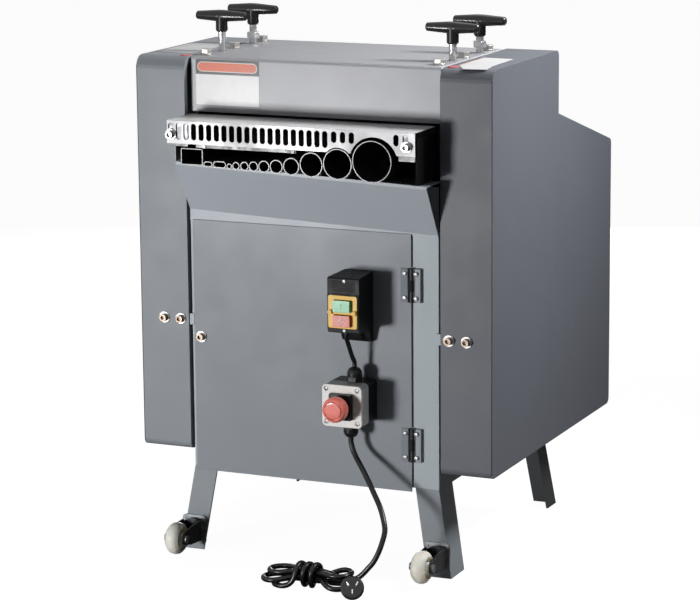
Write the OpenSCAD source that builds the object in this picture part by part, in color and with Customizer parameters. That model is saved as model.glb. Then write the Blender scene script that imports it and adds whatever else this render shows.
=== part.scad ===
// Cable stripping machine: a sheet-metal body on four splayed legs, with guide tubes in front,
// a pair of fed rollers and a pair of cutting shafts inside, and drive covers at both ends.
// While it is built, y = 0 is the front face of the side covers, and z = 0 is the floor.

/* [Body] */
// Width over both side covers
overall_w = 600; // [590:1:640]
// Width of the centre body
body_w = 422; // [416:1:426]
// Height of the glossy top above the floor
top_z = 794; // [790:1:830]
// Height of the underside of the centre body
body_bottom_z = 138; // [120:1:150]
// Depth of the lower cabinet behind the cover fronts
cabinet_back_y = 465; // [440:1:500]
// Thickness of the cabinet sheet
sheet_t = 2; // [1.5:0.5:3]
// Gap between the lower rollers and the deck under them
deck_gap = 7; // [4:1:12]
// Width of the legs and of the left corner post
post_w = 39; // [36:1:46]
// Width of the right corner post, which reaches behind the door
hinge_post_w = 56; // [50:1:60]
// Depth of the side flange of the front legs
leg_side_w = 56; // [40:1:60]
// Thickness of the corner posts and legs
post_t = 3; // [2:0.5:4]
// How far the corner posts stand behind the cover fronts
post_y = 4.5; // [4:0.5:8]

/* [Side covers] */
// Gap between the centre body and each side cover
cover_gap = 4.5; // [3:0.5:8]
// Thickness of the cover sheet
cover_t = 2; // [1:0.5:3]
// Depth of the covers at the top
cover_top_depth = 292; // [284:1:320]
// Depth of the covers at the belly
cover_depth = 552; // [520:1:600]
// Height of the underside of the covers
cover_bottom_z = 164; // [156:1:176]
// Height where the belly slope starts below the top
belly_high_z = 693; // [680:1:710]
// Height where the belly slope meets the back
belly_low_z = 617; // [600:1:640]
// Bend radius along the top front edge
cover_bend_r = 20; // [10:1:30]
// Bend radius along the other edges
cover_edge_r = 10; // [5:1:16]
// Height of the cover bolts
cover_bolt_z = 377; // [300:1:450]
// Washer diameter of the cover bolts
washer_d = 18; // [14:1:22]

/* [Top cover] */
// Distance of the apron behind the cover fronts
apron_y = 16; // [12:1:20]
// Depth of the top sheet behind the cover fronts
top_back_y = 278; // [276:1:286]
// Thickness of the top sheet
top_t = 3; // [2:0.5:4]
// Height of the bottom edge of the apron
apron_low_z = 708; // [706:1:716]

/* [Legs and casters] */
// Angle by which the legs splay sideways
leg_splay = 9.6; // [6:0.2:11]
// Angle by which the front legs lean forward
leg_lean_front = 3.4; // [2:0.2:5]
// Angle by which the rear legs lean back
leg_lean_rear = 3.4; // [2:0.2:6]
// Diameter of the caster wheels
wheel_d = 51; // [48:1:56]
// Width of the caster wheels
wheel_w = 24; // [18:1:25]
// Height of the wheel axles
axle_z = 34; // [33:1:40]
// Distance of the wheel axles in front of the cover fronts
axle_reach = 66; // [60:1:70]
// Diameter of the wheel axles
axle_d = 8; // [6:1:10]
// Distance of the middle of the wheels from the sides of the body
wheel_inset = 0; // [0:1:6]

/* [Feed] */
// Distance of the tube mouths in front of the cover fronts
tube_reach = 66; // [60:1:72]
// Thickness of the tube walls
tube_t = 1.6; // [1.2:0.1:2]
// Distance of the chute lip in front of the cover fronts
lip_reach = 43; // [36:1:50]
// Height of the lip at the middle of the machine
lip_z = 628.5; // [626:0.5:630]
// Sideways slope of the lip, down to the right
lip_tilt = 2.2; // [1.6:0.1:2.6]
// Thickness of the chute sheet
chute_t = 1.5; // [1:0.5:2]
// Distance of the guard face in front of the cover fronts
guard_reach = 65; // [64:1:70]
// Height of the guard face
guard_h = 36; // [34:1:38]
// Height of the top of the guard
guard_top_z = 704; // [703:1:705]
// Width of a guard slot
slot_w = 8.6; // [6:0.2:9.6]
// Spacing of the guard slots
slot_pitch = 13.05; // [12.6:0.05:13.2]
// Radius of the arch over the largest tube
arch_r = 40; // [39:1:42]

/* [Rollers] */
// Radius of the lower rollers
roller_r = 36; // [35:0.5:37]
// Height of the lower shafts
lower_z = 586; // [585:0.5:587]
// Distance of the front shafts behind the cover fronts
front_shaft_y = 98; // [97:1:99]
// Distance between the front and the rear shafts
shaft_span = 114; // [114:1:114]
// Radius of the upper feed roller
upper_roller_r = 30; // [28:0.5:30.5]
// Radius of the round blades
blade_r = 32.5; // [31:0.5:32.5]
// Thickness of the round blades
blade_t = 2; // [1.5:0.5:3]
// Rest gap between the feed rollers
feed_gap = 3; // [2.5:0.5:5]
// Travel of the upper shafts
lift = 57; // [40:1:60]
// Thickness of the side plates
plate_t = 14; // [12:1:16]
// Distance of the middle of the side plates from the sides of the body
plate_inset = 14; // [13:0.5:15]
// Running clearance of the shafts in their bearings
run_gap = 0.05; // [0.03:0.01:0.08]
// Sliding clearance of the bearing blocks
block_gap = 0.3; // [0.3:0.05:0.5]

/* [T-handles] */
// Length of a T-handle bar
bar_len = 87; // [70:1:100]
// Diameter of the hub of a T-handle
hub_d = 19; // [18:1:24]
// Height of the middle of the left bars
bar_z = 850; // [840:1:870]
// How much lower the right bars stand
bar_drop = 5; // [0:1:8]
// Diameter of the spindles
spindle_d = 12; // [10:1:14]

/* [Drive] */
// Module of the gears
gear_m = 2; // [2:1:2]
// Teeth of the shaft gears
gear_z = 38; // [38:1:38]
// Teeth of the idler gear
idler_z = 19; // [19:1:19]
// Width of the gears
gear_w = 18; // [12:1:22]
// Diameter of the pulley on the rear shaft
shaft_pulley_d = 150; // [130:1:160]
// Diameter of the pulley on the gearbox
motor_pulley_d = 90; // [70:1:100]
// Distance of the gearbox shaft behind the cover fronts
motor_y = 330; // [320:1:350]
// Height of the gearbox shaft
motor_z = 240; // [230:1:250]

/* [Door] */
// Distance of the door's left edge from the side of the body
door_left_gap = 5; // [3:1:20]
// Distance of the door's right edge from the side of the body
door_right_gap = 44; // [43:1:45]
// Lower edge of the door
door_low_z = 132; // [130:1:140]
// Upper edge of the door
door_high_z = 538; // [530:1:540]
// Distance of the door face behind the cover fronts
door_y = 1; // [0.5:0.5:1.5]
// Thickness of the door skin
door_t = 1.5; // [1:0.5:2]
// Height of a hinge
hinge_h = 53; // [40:1:60]
// Diameter of the hinge knuckle
knuckle_d = 7; // [6:0.5:7]
// Diameter of the hinge pin
hinge_pin_d = 3; // [2.5:0.5:3.5]

/* [Controls] */
// Width of the switch box
switch_w = 53; // [50:1:60]
// Height of the front of the switch box
switch_h = 86; // [80:1:90]
// Depth of the switch box
switch_d = 61; // [50:1:70]
// Side of the emergency stop box
stop_box = 66; // [64:1:74]
// Depth of the emergency stop box
stop_d = 61; // [50:1:66]
// Diameter of the mushroom head
mushroom_d = 40; // [36:1:40]
// Diameter of the mains cord
cord_d = 8.4; // [7:0.1:8.6]
// Thickness of the cable between the boxes
link_d = 7; // [6:0.5:7.5]

/* [Hidden] */
$fn = 48;

paint = "#6f757c";
paint_light = "#8d949b";
steel = "#c9cccf";
dark = "#1e1f21";

seat_gap = 0.3;
half_body = body_w / 2;
half_w = overall_w / 2;
cover_x = half_body + cover_gap;
plate_x = half_body - plate_inset;
wheel_x = half_body - wheel_inset;
door_left_x = -half_body + door_left_gap;
door_right_x = half_body - door_right_gap;
deck_z = lower_z - roller_r - deck_gap;
plate_in_x = plate_x - plate_t / 2;
plate_out_x = plate_x + plate_t / 2;
// The model is centred on its own box, from the wheels in front to the belly behind
y_mid = (cover_depth - axle_reach - wheel_d / 2) / 2;

// Shafts
rear_shaft_y = front_shaft_y + shaft_span;
shaft_ys = [front_shaft_y, rear_shaft_y];
upper_z = lower_z + roller_r + feed_gap + upper_roller_r;
lower_shaft_r = 15;
upper_shaft_r = 12.5;
bush_r = 22;
roller_half = plate_in_x - 6;
block_w = 44;
block_h = 52;
block_low_z = upper_z - block_h / 2;
cap_t = 20;
cap_z = top_z - top_t - cap_t;
plate_front_y = apron_y + top_t + 5;
plate_back_y = top_back_y - 6;
stud_y = (front_shaft_y + rear_shaft_y) / 2;
bolt_ys = [plate_front_y + 20, stud_y - 13, plate_back_y - 26];
bolt_d = 10;

// Tubes: middle of each mouth along x, outer width and outer height
box_x = half_body - 8;
flat_tube_row = [[-171, 38, 26], [-143.3, 15.4, 8.6], [-123.6, 22.2, 10.8]];
round_tube_row = [[-106.8, 9], [-95.4, 12.2], [-81, 14], [-65.6, 15.6], [-48, 18.6], [-27.2, 21.8],
    [-2, 27], [31.4, 38], [75, 47.4], [131.6, 64.4]];
// The row stays inside the left cheek of the feed box
row_shift = max(0, 3 - flat_tube_row[0][0] + flat_tube_row[0][1] / 2 - box_x);
flat_tube_x = [for (t = flat_tube_row) [t[0] + row_shift, t[1], t[2]]];
round_tube_x = [for (t = round_tube_row) [t[0] + row_shift, t[1]]];
channel_x = concat([for (t = flat_tube_x) t[0]], [for (t = round_tube_x) t[0]]);
tube_back_y = front_shaft_y - roller_r - 4;
function lip_at(x) = lip_z - x * tan(lip_tilt);

// Places of the hinges, screws and boxes on the door
hinge_x = door_right_x + 1;
hinge_leaf_t = 2;
hinge_y = door_y - hinge_leaf_t / 2;
hinge_zs = [180, 432];
switch_x = 80;
switch_z = 389;
stop_x = 76;
stop_z = 274;
latch_x = door_left_x + 12;
latch_z = 350;
stop_face_y = door_y - stop_d;
button_zs = [switch_z + 43, switch_z + 20];
gland_y = -28;
link_x = 84;
link_top = [78, -44];
cord_x = 77;

// Drive plane
gear_x = plate_out_x + 6;
pulley_x = gear_x + gear_w + 8;
pulley_w = 20;
belt_t = 8;
belt_w = 12;

// Mains cord: points from the stop box to the hank on the floor, in the building frame
cord_pts = [[77, -28, 219], [77, -28, 211], [80, -29, 200], [87, -33, 189], [99, -41, 177], [115, -52, 160],
    [132, -66, 142], [147, -79, 126], [158, -91, 110], [164, -100, 96], [164, -109, 82], [160, -116, 65],
    [153, -120, 50], [145, -122, 40], [137, -124, 31], [131, -125, 25], [126, -126, 21], [123.6, -126.4, 20.2]];
// Middle, length, width and height of the hank
hank_c = [50, -128];
hank_l = 144;
hank_w = 54;
hank_h = 38;
// Middle of the plug's face
plug_p = [140, -170, 23.3];

// Turns three corners into the arc that rounds the middle one
function unit2(v) = v / norm(v);
function corner(a, b, c, r) = r == 0 ? [b] :
    let (u = unit2(a - b), v = unit2(c - b), h = acos(u * v) / 2, m = b + unit2(u + v) * (r / sin(h)),
        s = b + u * (r / tan(h)) - m, e = b + v * (r / tan(h)) - m,
        a0 = atan2(s[1], s[0]), d0 = atan2(e[1], e[0]) - a0,
        d = d0 > 180 ? d0 - 360 : d0 < -180 ? d0 + 360 : d0)
    [for (i = [0:6]) m + r * [cos(a0 + d * i / 6), sin(a0 + d * i / 6)]];
// Rounds every corner of an outline by its own radius
function smooth(p, r) = [for (i = [0:len(p) - 1])
    each corner(p[(i + len(p) - 1) % len(p)], p[i], p[(i + 1) % len(p)], r[i])];

module seat() translate([0, -y_mid, 0]) children();
module box(x, y, z) translate([x[0], y[0], z[0]]) cube([x[1] - x[0], y[1] - y[0], z[1] - z[0]]);
// Extrudes a y-z outline from x0 to x1
module along_x(x0, x1) translate([x0, 0, 0]) rotate([90, 0, 90]) linear_extrude(x1 - x0) children();
// Extrudes an x-z outline from y0 towards y1
module along_y(y0, y1) translate([0, y1, 0]) rotate([90, 0, 0]) linear_extrude(y1 - y0) children();
module rod_x(x0, x1, y, z, r) translate([x0, y, z]) rotate([0, 90, 0]) cylinder(h = x1 - x0, r = r);
module rod_y(y0, y1, x, z, r) translate([x, y1, z]) rotate([90, 0, 0]) cylinder(h = y1 - y0, r = r);
module both() { children(); mirror([1, 0, 0]) children(); }

// The outline of a side cover in y and z, moved inwards by d
function cover_outline(d) =
    let (s = (belly_low_z - belly_high_z) / (cover_depth - cover_top_depth), k = sqrt(1 + s * s),
        r = cover_edge_r - d)
    smooth([[d, cover_bottom_z + d], [d, top_z - d], [cover_top_depth - d, top_z - d],
        [cover_top_depth - d, belly_high_z - s * d - k * d], [cover_depth - d, belly_low_z - s * d - k * d],
        [cover_depth - d, cover_bottom_z + d]],
        [r, cover_bend_r - d, r, 0, r, r]);

module cover_solid() {
    difference() {
        along_x(cover_x, half_w) polygon(cover_outline(0));
        along_x(cover_x - 1, half_w - cover_t) polygon(cover_outline(cover_t));
        for (x = cover_bolt_xs) rod_y(-1, cover_t + 1, x, cover_bolt_z, 4.2);
    }
    // folded inner edge that stiffens the mouth of the shell
    difference() {
        along_x(cover_x, cover_x + cover_t) polygon(cover_outline(cover_t / 2));
        along_x(cover_x - 1, cover_x + cover_t + 1) polygon(cover_outline(cover_t + 8));
        // notch for the tab of the front frame
        box([cover_x - 1, cover_x + cover_t + 1], [cover_t, cover_t + 9], [cover_bolt_z - 10, cover_bolt_z + 10]);
    }
}
cover_bolt_xs = [cover_x + 14, cover_x + 43];
module cover_left() color(paint) seat() mirror([1, 0, 0]) cover_solid();
module cover_right() color(paint) seat() cover_solid();

module front_frame() color(paint_light) seat() {
    box([half_body - hinge_post_w, half_body - post_w + 1], [post_y, post_y + post_t],
        [body_bottom_z, deck_z]);
    both() frame_half();
}
module frame_half() {
    // corner post with its folded side
    box([half_body - post_w, half_body], [post_y, post_y + post_t], [body_bottom_z, lip_at(half_body) - 8]);
    box([half_body - sheet_t - post_t, half_body - sheet_t], [post_y + post_t - 0.5, post_y + 38],
        [body_bottom_z + sheet_t, deck_z - sheet_t]);
    // rails above and below the door opening
    box([-0.5, half_body - post_w + 0.5], [post_y, post_y + post_t], [body_bottom_z, body_bottom_z + 24]);
    box([-0.5, half_body - post_w + 0.5], [post_y, post_y + post_t], [door_high_z - 30, deck_z]);
    // tab that carries the cover bolts
    difference() {
        box([half_body - 4, cover_bolt_xs[1] + 12], [cover_t, post_y + post_t / 2],
            [cover_bolt_z - 9, cover_bolt_z + 9]);
        for (x = cover_bolt_xs) rod_y(0, post_y + post_t, x, cover_bolt_z, 4);
    }
}

cabinet_top_y = plate_back_y + 0.5;
chute_slope = 25;
function outlet_z(y) = lower_z + 18 - (y - cabinet_top_y) * tan(chute_slope);
module cabinet() color(paint_light) seat() difference() {
    union() {
        both() along_x(half_body - sheet_t, half_body) polygon([
            [post_y + post_t, body_bottom_z], [cabinet_back_y, body_bottom_z],
            [cabinet_back_y, outlet_z(cabinet_back_y) - seat_gap], [cabinet_top_y, outlet_z(cabinet_top_y) - seat_gap],
            [cabinet_top_y, deck_z], [post_y + post_t, deck_z]]);
        box([-half_body, half_body], [post_y + post_t, cabinet_back_y], [body_bottom_z, body_bottom_z + sheet_t]);
        box([-half_body, half_body], [cabinet_back_y - sheet_t, cabinet_back_y],
            [body_bottom_z, outlet_z(cabinet_back_y) - seat_gap]);
        box([-half_body, half_body], [post_y + post_t, cabinet_top_y + 20], [deck_z - sheet_t, deck_z]);
    }
    // louvre slots in the back, a hole for the gearbox shaft, and cable slots in the floor
    for (i = [0:9]) box([-90, 90], [cabinet_back_y - 5, cabinet_back_y + 1], [220 + i * 20, 226 + i * 20]);
    rod_x(half_body - 5, half_body + 1, motor_y, motor_z, 16);
}

// One angle-iron leg: s is the side, lean is positive towards the back
module leg(s, y, lean) intersection() {
    box([-half_w, half_w], [-80, cover_depth], [0, body_bottom_z]);
    translate([s * half_body, y, body_bottom_z]) rotate([lean, 0, 0]) rotate([0, -s * leg_splay, 0])
        translate([0, 0, -160]) linear_extrude(190)
        mirror([s > 0 ? 1 : 0, 0]) {
            translate([0, lean < 0 ? 0 : -post_t]) square([post_w, post_t]);
            translate([0, lean < 0 ? 0 : -post_w]) square([post_t, lean < 0 ? leg_side_w : post_w]);
        }
}
module legs_front() color(paint_light) seat() for (s = [-1, 1]) leg(s, post_y, -leg_lean_front);
module legs_rear() color(paint) seat() for (s = [-1, 1]) leg(s, cabinet_back_y, leg_lean_rear);

module side_plates() color(dark) seat() {
    // bearing beams, and the guide posts that stand on them beside the sliding blocks
    both() difference() {
        box([plate_in_x, plate_out_x], [plate_front_y, plate_back_y], [deck_z, block_low_z - block_gap]);
        for (y = shaft_ys) rod_x(plate_in_x - 1, plate_out_x + 1, y, lower_z, bush_r);
    }
    for (y = [[plate_front_y, shaft_ys[0] - block_w / 2], [shaft_ys[0] + block_w / 2, shaft_ys[1] - block_w / 2],
        [shaft_ys[1] + block_w / 2, plate_back_y]])
        both() box([plate_in_x, plate_out_x], y, [block_low_z - block_gap + 0.05, cap_z]);
    // stud of the idler gear, with its collar and washer
    rod_x(plate_out_x - 1, gear_x + gear_w + 4, stud_y, lower_z, 8);
    rod_x(plate_out_x - 1, gear_x - 0.5, stud_y, lower_z, 12);
    rod_x(gear_x + gear_w + 0.5, gear_x + gear_w + 3, stud_y, lower_z, 12);
}

module cap_bars() color(dark) seat() both() difference() {
    box([plate_in_x - 2, plate_out_x + 2], [plate_front_y, plate_back_y], [cap_z, cap_z + cap_t]);
    for (y = shaft_ys) translate([plate_x, y, cap_z - 1]) cylinder(h = cap_t + 2, r = spindle_d / 2 + run_gap);
    for (y = bolt_ys) translate([plate_x, y, cap_z - 1]) cylinder(h = cap_t + 2, r = bolt_d / 2);
}

module hex_head(af, h) cylinder(h = h, r = af / sqrt(3), $fn = 6);
// A socket-head bolt with a washer that faces the front, at y
module front_bolt(x, y, z, grip) {
    rod_y(y - 1.6, y, x, z, washer_d / 2);
    difference() {
        rod_y(y - 9, y - 1.6, x, z, 6);
        translate([x, y - 5, z]) rotate([90, 0, 0]) cylinder(h = 6, r = 3.4, $fn = 6);
    }
    rod_y(y - 1.6, y + grip, x, z, 4);
}
module bolts() color(steel) seat() {
    both() for (y = bolt_ys) translate([plate_x, y, 0]) {
        translate([0, 0, top_z]) cylinder(h = 2, r = 10);
        translate([0, 0, top_z + 2]) hex_head(16, 7);
        translate([0, 0, cap_z]) cylinder(h = top_z - cap_z + 1, r = bolt_d / 2);
    }
    both() for (x = cover_bolt_xs) front_bolt(x, 0, cover_bolt_z, 8);
}

module top_cover() color(paint_light) seat() difference() {
    along_x(-half_body, half_body) polygon(concat(
        corner([apron_y, apron_low_z], [apron_y, top_z], [top_back_y, top_z], 5),
        corner([apron_y, top_z], [top_back_y, top_z], [top_back_y, apron_low_z], 5),
        [[top_back_y, 740], [top_back_y - top_t, 740], [top_back_y - top_t, top_z - top_t],
        [apron_y + top_t, top_z - top_t], [apron_y + top_t, apron_low_z], [apron_y, apron_low_z]]));
    both() for (y = shaft_ys) translate([plate_x, y, top_z - 10]) cylinder(h = 20, r = spindle_d / 2 + 1.5);
    both() for (y = bolt_ys) translate([plate_x, y, top_z - 10]) cylinder(h = 20, r = bolt_d / 2);
}

tube_plate_y = plate_front_y - 8;
module feed_box() color(dark) seat() difference() {
    union() {
        box([-box_x, box_x], [tube_plate_y, tube_plate_y + sheet_t], [deck_z, apron_low_z - seat_gap]);
        for (s = [-1, 1]) {
            x = s > 0 ? box_x - sheet_t : -box_x;
            box([x, x + sheet_t], [-guard_reach + 4, tube_plate_y + 0.5],
                [lip_at(s * box_x) + 4, guard_top_z - (s > 0 ? 9 + seat_gap : 2)]);
        }
    }
    for (t = flat_tube_x) along_y(tube_plate_y - 1, tube_plate_y + sheet_t + 1) flat_outline(t, -0.1);
    for (t = round_tube_x)
        rod_y(tube_plate_y - 1, tube_plate_y + sheet_t + 1, t[0], tube_z(t[0], t[1]), t[1] / 2 + 0.1);
}

// Height of the middle of a tube of height h that stands on the lip at x
function tube_z(x, h) = lip_at(x) + h / 2 + seat_gap + h * 0.02;
// Outline of a flat tube, moved inwards by d: a rectangle, or an oval with two half-round sides
module flat_outline(t, d) translate([t[0], tube_z(t[0], t[2])])
    for (w = [t[1] / 2 - d], h = [t[2] / 2 - d])
        if (t[2] > 20) polygon(smooth([[-w, -h], [-w, h], [w, h], [w, -h]], [for (i = [0:3]) 2.5 - d]));
        else {
            square([2 * w - 2 * h, 2 * h], center = true);
            for (s = [-1, 1]) translate([s * (w - h), 0]) circle(h);
        }
module flat_tubes() color(dark) seat() for (t = flat_tube_x) difference() {
    along_y(-tube_reach, tube_back_y) flat_outline(t, 0);
    along_y(-tube_reach - 1, tube_back_y + 1) flat_outline(t, tube_t);
}
module round_tubes() color(dark) seat() for (t = round_tube_x) difference() {
    rod_y(-tube_reach, tube_back_y, t[0], tube_z(t[0], t[1]), t[1] / 2);
    rod_y(-tube_reach - 1, tube_back_y + 1, t[0], tube_z(t[0], t[1]), t[1] / 2 - tube_t);
}

// Shelf under the tubes, lip, slanted front and the flange behind the door, all tilted together
module chute_panel() color(paint_light) seat() intersection() {
    box([-half_body, half_body], [-lip_reach - 1, tube_plate_y], [door_high_z - 2, lip_z + 30]);
    translate([0, 0, lip_z]) rotate([0, lip_tilt, 0]) along_x(-half_w, half_w) polygon([
        [tube_plate_y, 0], [-lip_reach, 0], [-lip_reach, -5], [post_y - chute_t, -82], [post_y - chute_t, -130],
        [post_y - seat_gap, -130], [post_y - seat_gap, -80], [-lip_reach + chute_t, -6],
        [-lip_reach + chute_t, -chute_t], [tube_plate_y, -chute_t]]);
}

guard_left_x = -half_body - 3;
guard_right_x = half_body - 9;
first_slot_x = guard_left_x + 7.2;
arch_x = round_tube_x[9][0] + 2.4;
module slot_cut(x, z0, z1) along_y(-guard_reach - 1, -guard_reach + 3) {
    translate([x - slot_w / 2, z0 + slot_w / 2]) square([slot_w, z1 - z0 - slot_w]);
    for (z = [z0 + slot_w / 2, z1 - slot_w / 2]) translate([x, z]) circle(slot_w / 2);
}
module guard() color(steel) seat() difference() {
    union() {
        box([guard_left_x, guard_right_x], [-guard_reach, -guard_reach + 2], [guard_top_z - guard_h, guard_top_z]);
        box([guard_left_x, guard_right_x], [-guard_reach, tube_plate_y], [guard_top_z - 2, guard_top_z]);
        box([guard_right_x - 2, guard_right_x], [-guard_reach, tube_plate_y], [guard_top_z - 9, guard_top_z]);
    }
    for (i = [0:20]) slot_cut(first_slot_x + i * slot_pitch, guard_top_z - 29.5, guard_top_z - 4);
    for (x = [69, 83.5, 98, 171, 186]) slot_cut(x, guard_top_z - 21, guard_top_z - 4);
    rod_y(-guard_reach - 1, -guard_reach + 3, arch_x, guard_top_z - 49.5, arch_r);
    rod_y(-guard_reach - 1, -guard_reach + 3, round_tube_x[8][0], tube_z(round_tube_x[8][0], round_tube_x[8][1]),
        round_tube_x[8][1] / 2 + 1.5);
    for (x = guard_screw_xs) rod_y(-guard_reach - 1, -guard_reach + 3, x, guard_screw_z, 4);
}
guard_screw_xs = [guard_left_x + 7.2, guard_right_x - 14];
guard_screw_z = guard_top_z - 22;

module front_bolt_small(x, y, z) rod_y(y - 2, y + 1, x, z, 3);
module guard_fixings() color(steel) seat() {
    // angle brackets between the guard and the cheeks of the feed box
    y0 = -guard_reach + 2;
    difference() {
        union() {
            box([guard_left_x, -box_x + 24], [y0, y0 + 2], [guard_top_z - 40, guard_top_z - 2]);
            box([guard_right_x - 28, guard_right_x - 2.2], [y0, y0 + 2], [guard_top_z - 44, guard_top_z - 2]);
            box([-box_x + sheet_t, -box_x + sheet_t + 2], [y0, y0 + 24], [guard_top_z - 40, guard_top_z - 2]);
            box([box_x - sheet_t - 2, box_x - sheet_t], [y0, y0 + 24], [guard_top_z - 44, guard_top_z - 9]);
        }
        for (x = guard_screw_xs) rod_y(y0 - 1, y0 + 3, x, guard_screw_z, 4);
    }
    for (x = guard_screw_xs) front_bolt(x, -guard_reach, guard_screw_z, 6);
    // bright bar over the small tubes, on the back of the guard
    box([-165, 5], [-guard_reach + 2, -guard_reach + 5], [guard_top_z - guard_h - 5, guard_top_z - guard_h + 5]);
    for (x = [-150, 0]) front_bolt_small(x, -guard_reach + 2, guard_top_z - guard_h - 2.5);
}

// Casters: plate on the front face of the leg, round race, and a fork with the axle
fork_y = post_y - (body_bottom_z - axle_z) * tan(leg_lean_front);
fork_in = wheel_w / 2 + 1.8;
module caster_brackets() color(steel) seat() both() translate([wheel_x, 0, 0]) {
    translate([0, fork_y - seat_gap, axle_z]) rotate([-leg_lean_front, 0, 0]) difference() {
        along_y(-3, 0) polygon(smooth([[-21, -24], [-21, 22], [21, 22], [21, -24]], [6, 6, 6, 6]));
        for (x = [-13, 13], z = [-15, 15]) rod_y(-4, -1.5, x, z, 2.6);
    }
    rod_y(fork_y - 10, fork_y - 2.5, 0, axle_z, 15);
    difference() {
        union() {
            along_y(fork_y - 12, fork_y - 9.5) intersection() {
                translate([0, axle_z]) circle(19);
                translate([-fork_in - 2.5, axle_z - 20]) square([2 * fork_in + 5, 40]);
            }
            for (x = [-fork_in - 2.5, fork_in]) along_x(x, x + 2.5) polygon(smooth([
                [fork_y - 9.5, axle_z - 17], [fork_y - 9.5, axle_z + 17], [-axle_reach + 22, axle_z + 15],
                [-axle_reach - 7, axle_z + 8], [-axle_reach - 7, axle_z - 8], [-axle_reach + 18, axle_z - 14]],
                [0, 5, 10, 6, 6, 10]));
        }
        rod_x(-40, 40, -axle_reach, axle_z, axle_d / 2);
    }
    rod_x(-fork_in - 3.5, fork_in + 3.5, -axle_reach, axle_z, axle_d / 2);
    for (s = [-1, 1]) rod_x(s * (fork_in + 4) - 1.8, s * (fork_in + 4) + 1.8, -axle_reach, axle_z, 6);
}
// Crowned nylon wheel with a recessed web and a hub
module wheel(s) translate([s * wheel_x, -axle_reach, axle_z]) rotate([0, 90, 0]) rotate_extrude($fn = 64)
    polygon(concat([[axle_d / 2 + run_gap, -wheel_w / 2 - 1.5], [9, -wheel_w / 2 - 1.5], [9, -4],
        [wheel_d / 2 - 8, -4], [wheel_d / 2 - 7, -wheel_w / 2]],
        [for (a = [-60:20:60]) [wheel_d / 2 - 5 + 5 * cos(a), (wheel_w / 2 - 4) * sin(a) / sin(60)]],
        [[wheel_d / 2 - 7, wheel_w / 2], [wheel_d / 2 - 8, 4], [9, 4], [9, wheel_w / 2 + 1.5],
        [axle_d / 2 + run_gap, wheel_w / 2 + 1.5]]));
module wheel_left() color("#e8e6d8") seat() wheel(-1);
module wheel_right() color("#e8e6d8") seat() wheel(1);

// Hinge: knuckles 0 and 2 of three on the frame, knuckle 1 on the door
module knuckle(z, i) {
    h = hinge_h / 3;
    translate([hinge_x, hinge_y, z + i * h + (i == 1 ? 0.3 : 0)]) cylinder(h = h - (i == 1 ? 0.6 : 0), r = knuckle_d / 2, $fn = 20);
}
module hinge_screw(x, y, z) { rod_y(y - 1.6, y, x, z, 3.4); }
module hinge_leaves() color(paint_light) seat() for (z = hinge_zs) {
    difference() {
        union() {
            box([hinge_x + 2, hinge_x + 15], [hinge_y - hinge_leaf_t / 2, post_y], [z, z + hinge_h]);
            for (i = [0, 2]) {
                knuckle(z, i);
                box([hinge_x, hinge_x + 3], [hinge_y - 1, hinge_y + 1], [z + i * hinge_h / 3, z + (i + 1) * hinge_h / 3]);
            }
        }
        translate([hinge_x, hinge_y, z - 1]) cylinder(h = hinge_h + 2, r = hinge_pin_d / 2, $fn = 20);
        box([hinge_x - 6, hinge_x + 4.2], [hinge_y - 5, hinge_y + 5],
            [z + hinge_h / 3, z + 2 * hinge_h / 3]);
    }
    translate([hinge_x, hinge_y, z]) cylinder(h = hinge_h + 1, r = hinge_pin_d / 2, $fn = 20);
    for (h = [7, hinge_h - 8]) hinge_screw(hinge_x + 8, hinge_y - hinge_leaf_t / 2, z + h);
}
module door_leaves() color(paint_light) seat() for (z = hinge_zs) {
    difference() {
        union() {
            box([hinge_x - 18, hinge_x - 2], [hinge_y - 1, hinge_y + 1], [z, z + hinge_h]);
            knuckle(z, 1);
            box([hinge_x - 3, hinge_x], [hinge_y - 1, hinge_y + 1],
                [z + hinge_h / 3 + 0.3, z + 2 * hinge_h / 3 - 0.3]);
        }
        translate([hinge_x, hinge_y, z - 1]) cylinder(h = hinge_h + 2, r = hinge_pin_d / 2 + 0.1, $fn = 20);
        for (i = [0, 2]) box([hinge_x - 4.2, hinge_x + 6], [hinge_y - 5, hinge_y + 5],
            [z + i * hinge_h / 3 - 1, z + (i + 1) * hinge_h / 3 + (i == 0 ? 0.3 : 1)]);
    }
    for (h = [7, hinge_h - 8]) hinge_screw(hinge_x - 11, hinge_y - 1, z + h);
}

// Skin of the door with a stiffening ring behind it
module door_panel() color(paint) seat() difference() {
    union() {
        box([door_left_x, door_right_x], [door_y, door_y + door_t], [door_low_z, door_high_z]);
        difference() {
            box([-half_body + post_w + 6, half_body - hinge_post_w - 4], [door_y, door_y + 12],
                [body_bottom_z + 28, door_high_z - 34]);
            box([-half_body + post_w + 8, half_body - hinge_post_w - 6], [door_y + door_t, door_y + 13],
                [body_bottom_z + 30, door_high_z - 36]);
        }
    }
    for (z = hinge_zs) box([hinge_x - knuckle_d / 2 - 0.6, hinge_x + 5], [door_y - 1, door_y + door_t + 1],
        [z - 1, z + hinge_h + 1]);
    rod_y(door_y - 1, door_y + door_t + 1, latch_x, latch_z, 4);
    // entry hole for the wires behind the switch box
    rod_y(door_y - 1, door_y + door_t + 1, switch_x, switch_z + 50, 9);
}
module latch_bolt() color(steel) seat() front_bolt(latch_x, door_y, latch_z, door_t);

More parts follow.
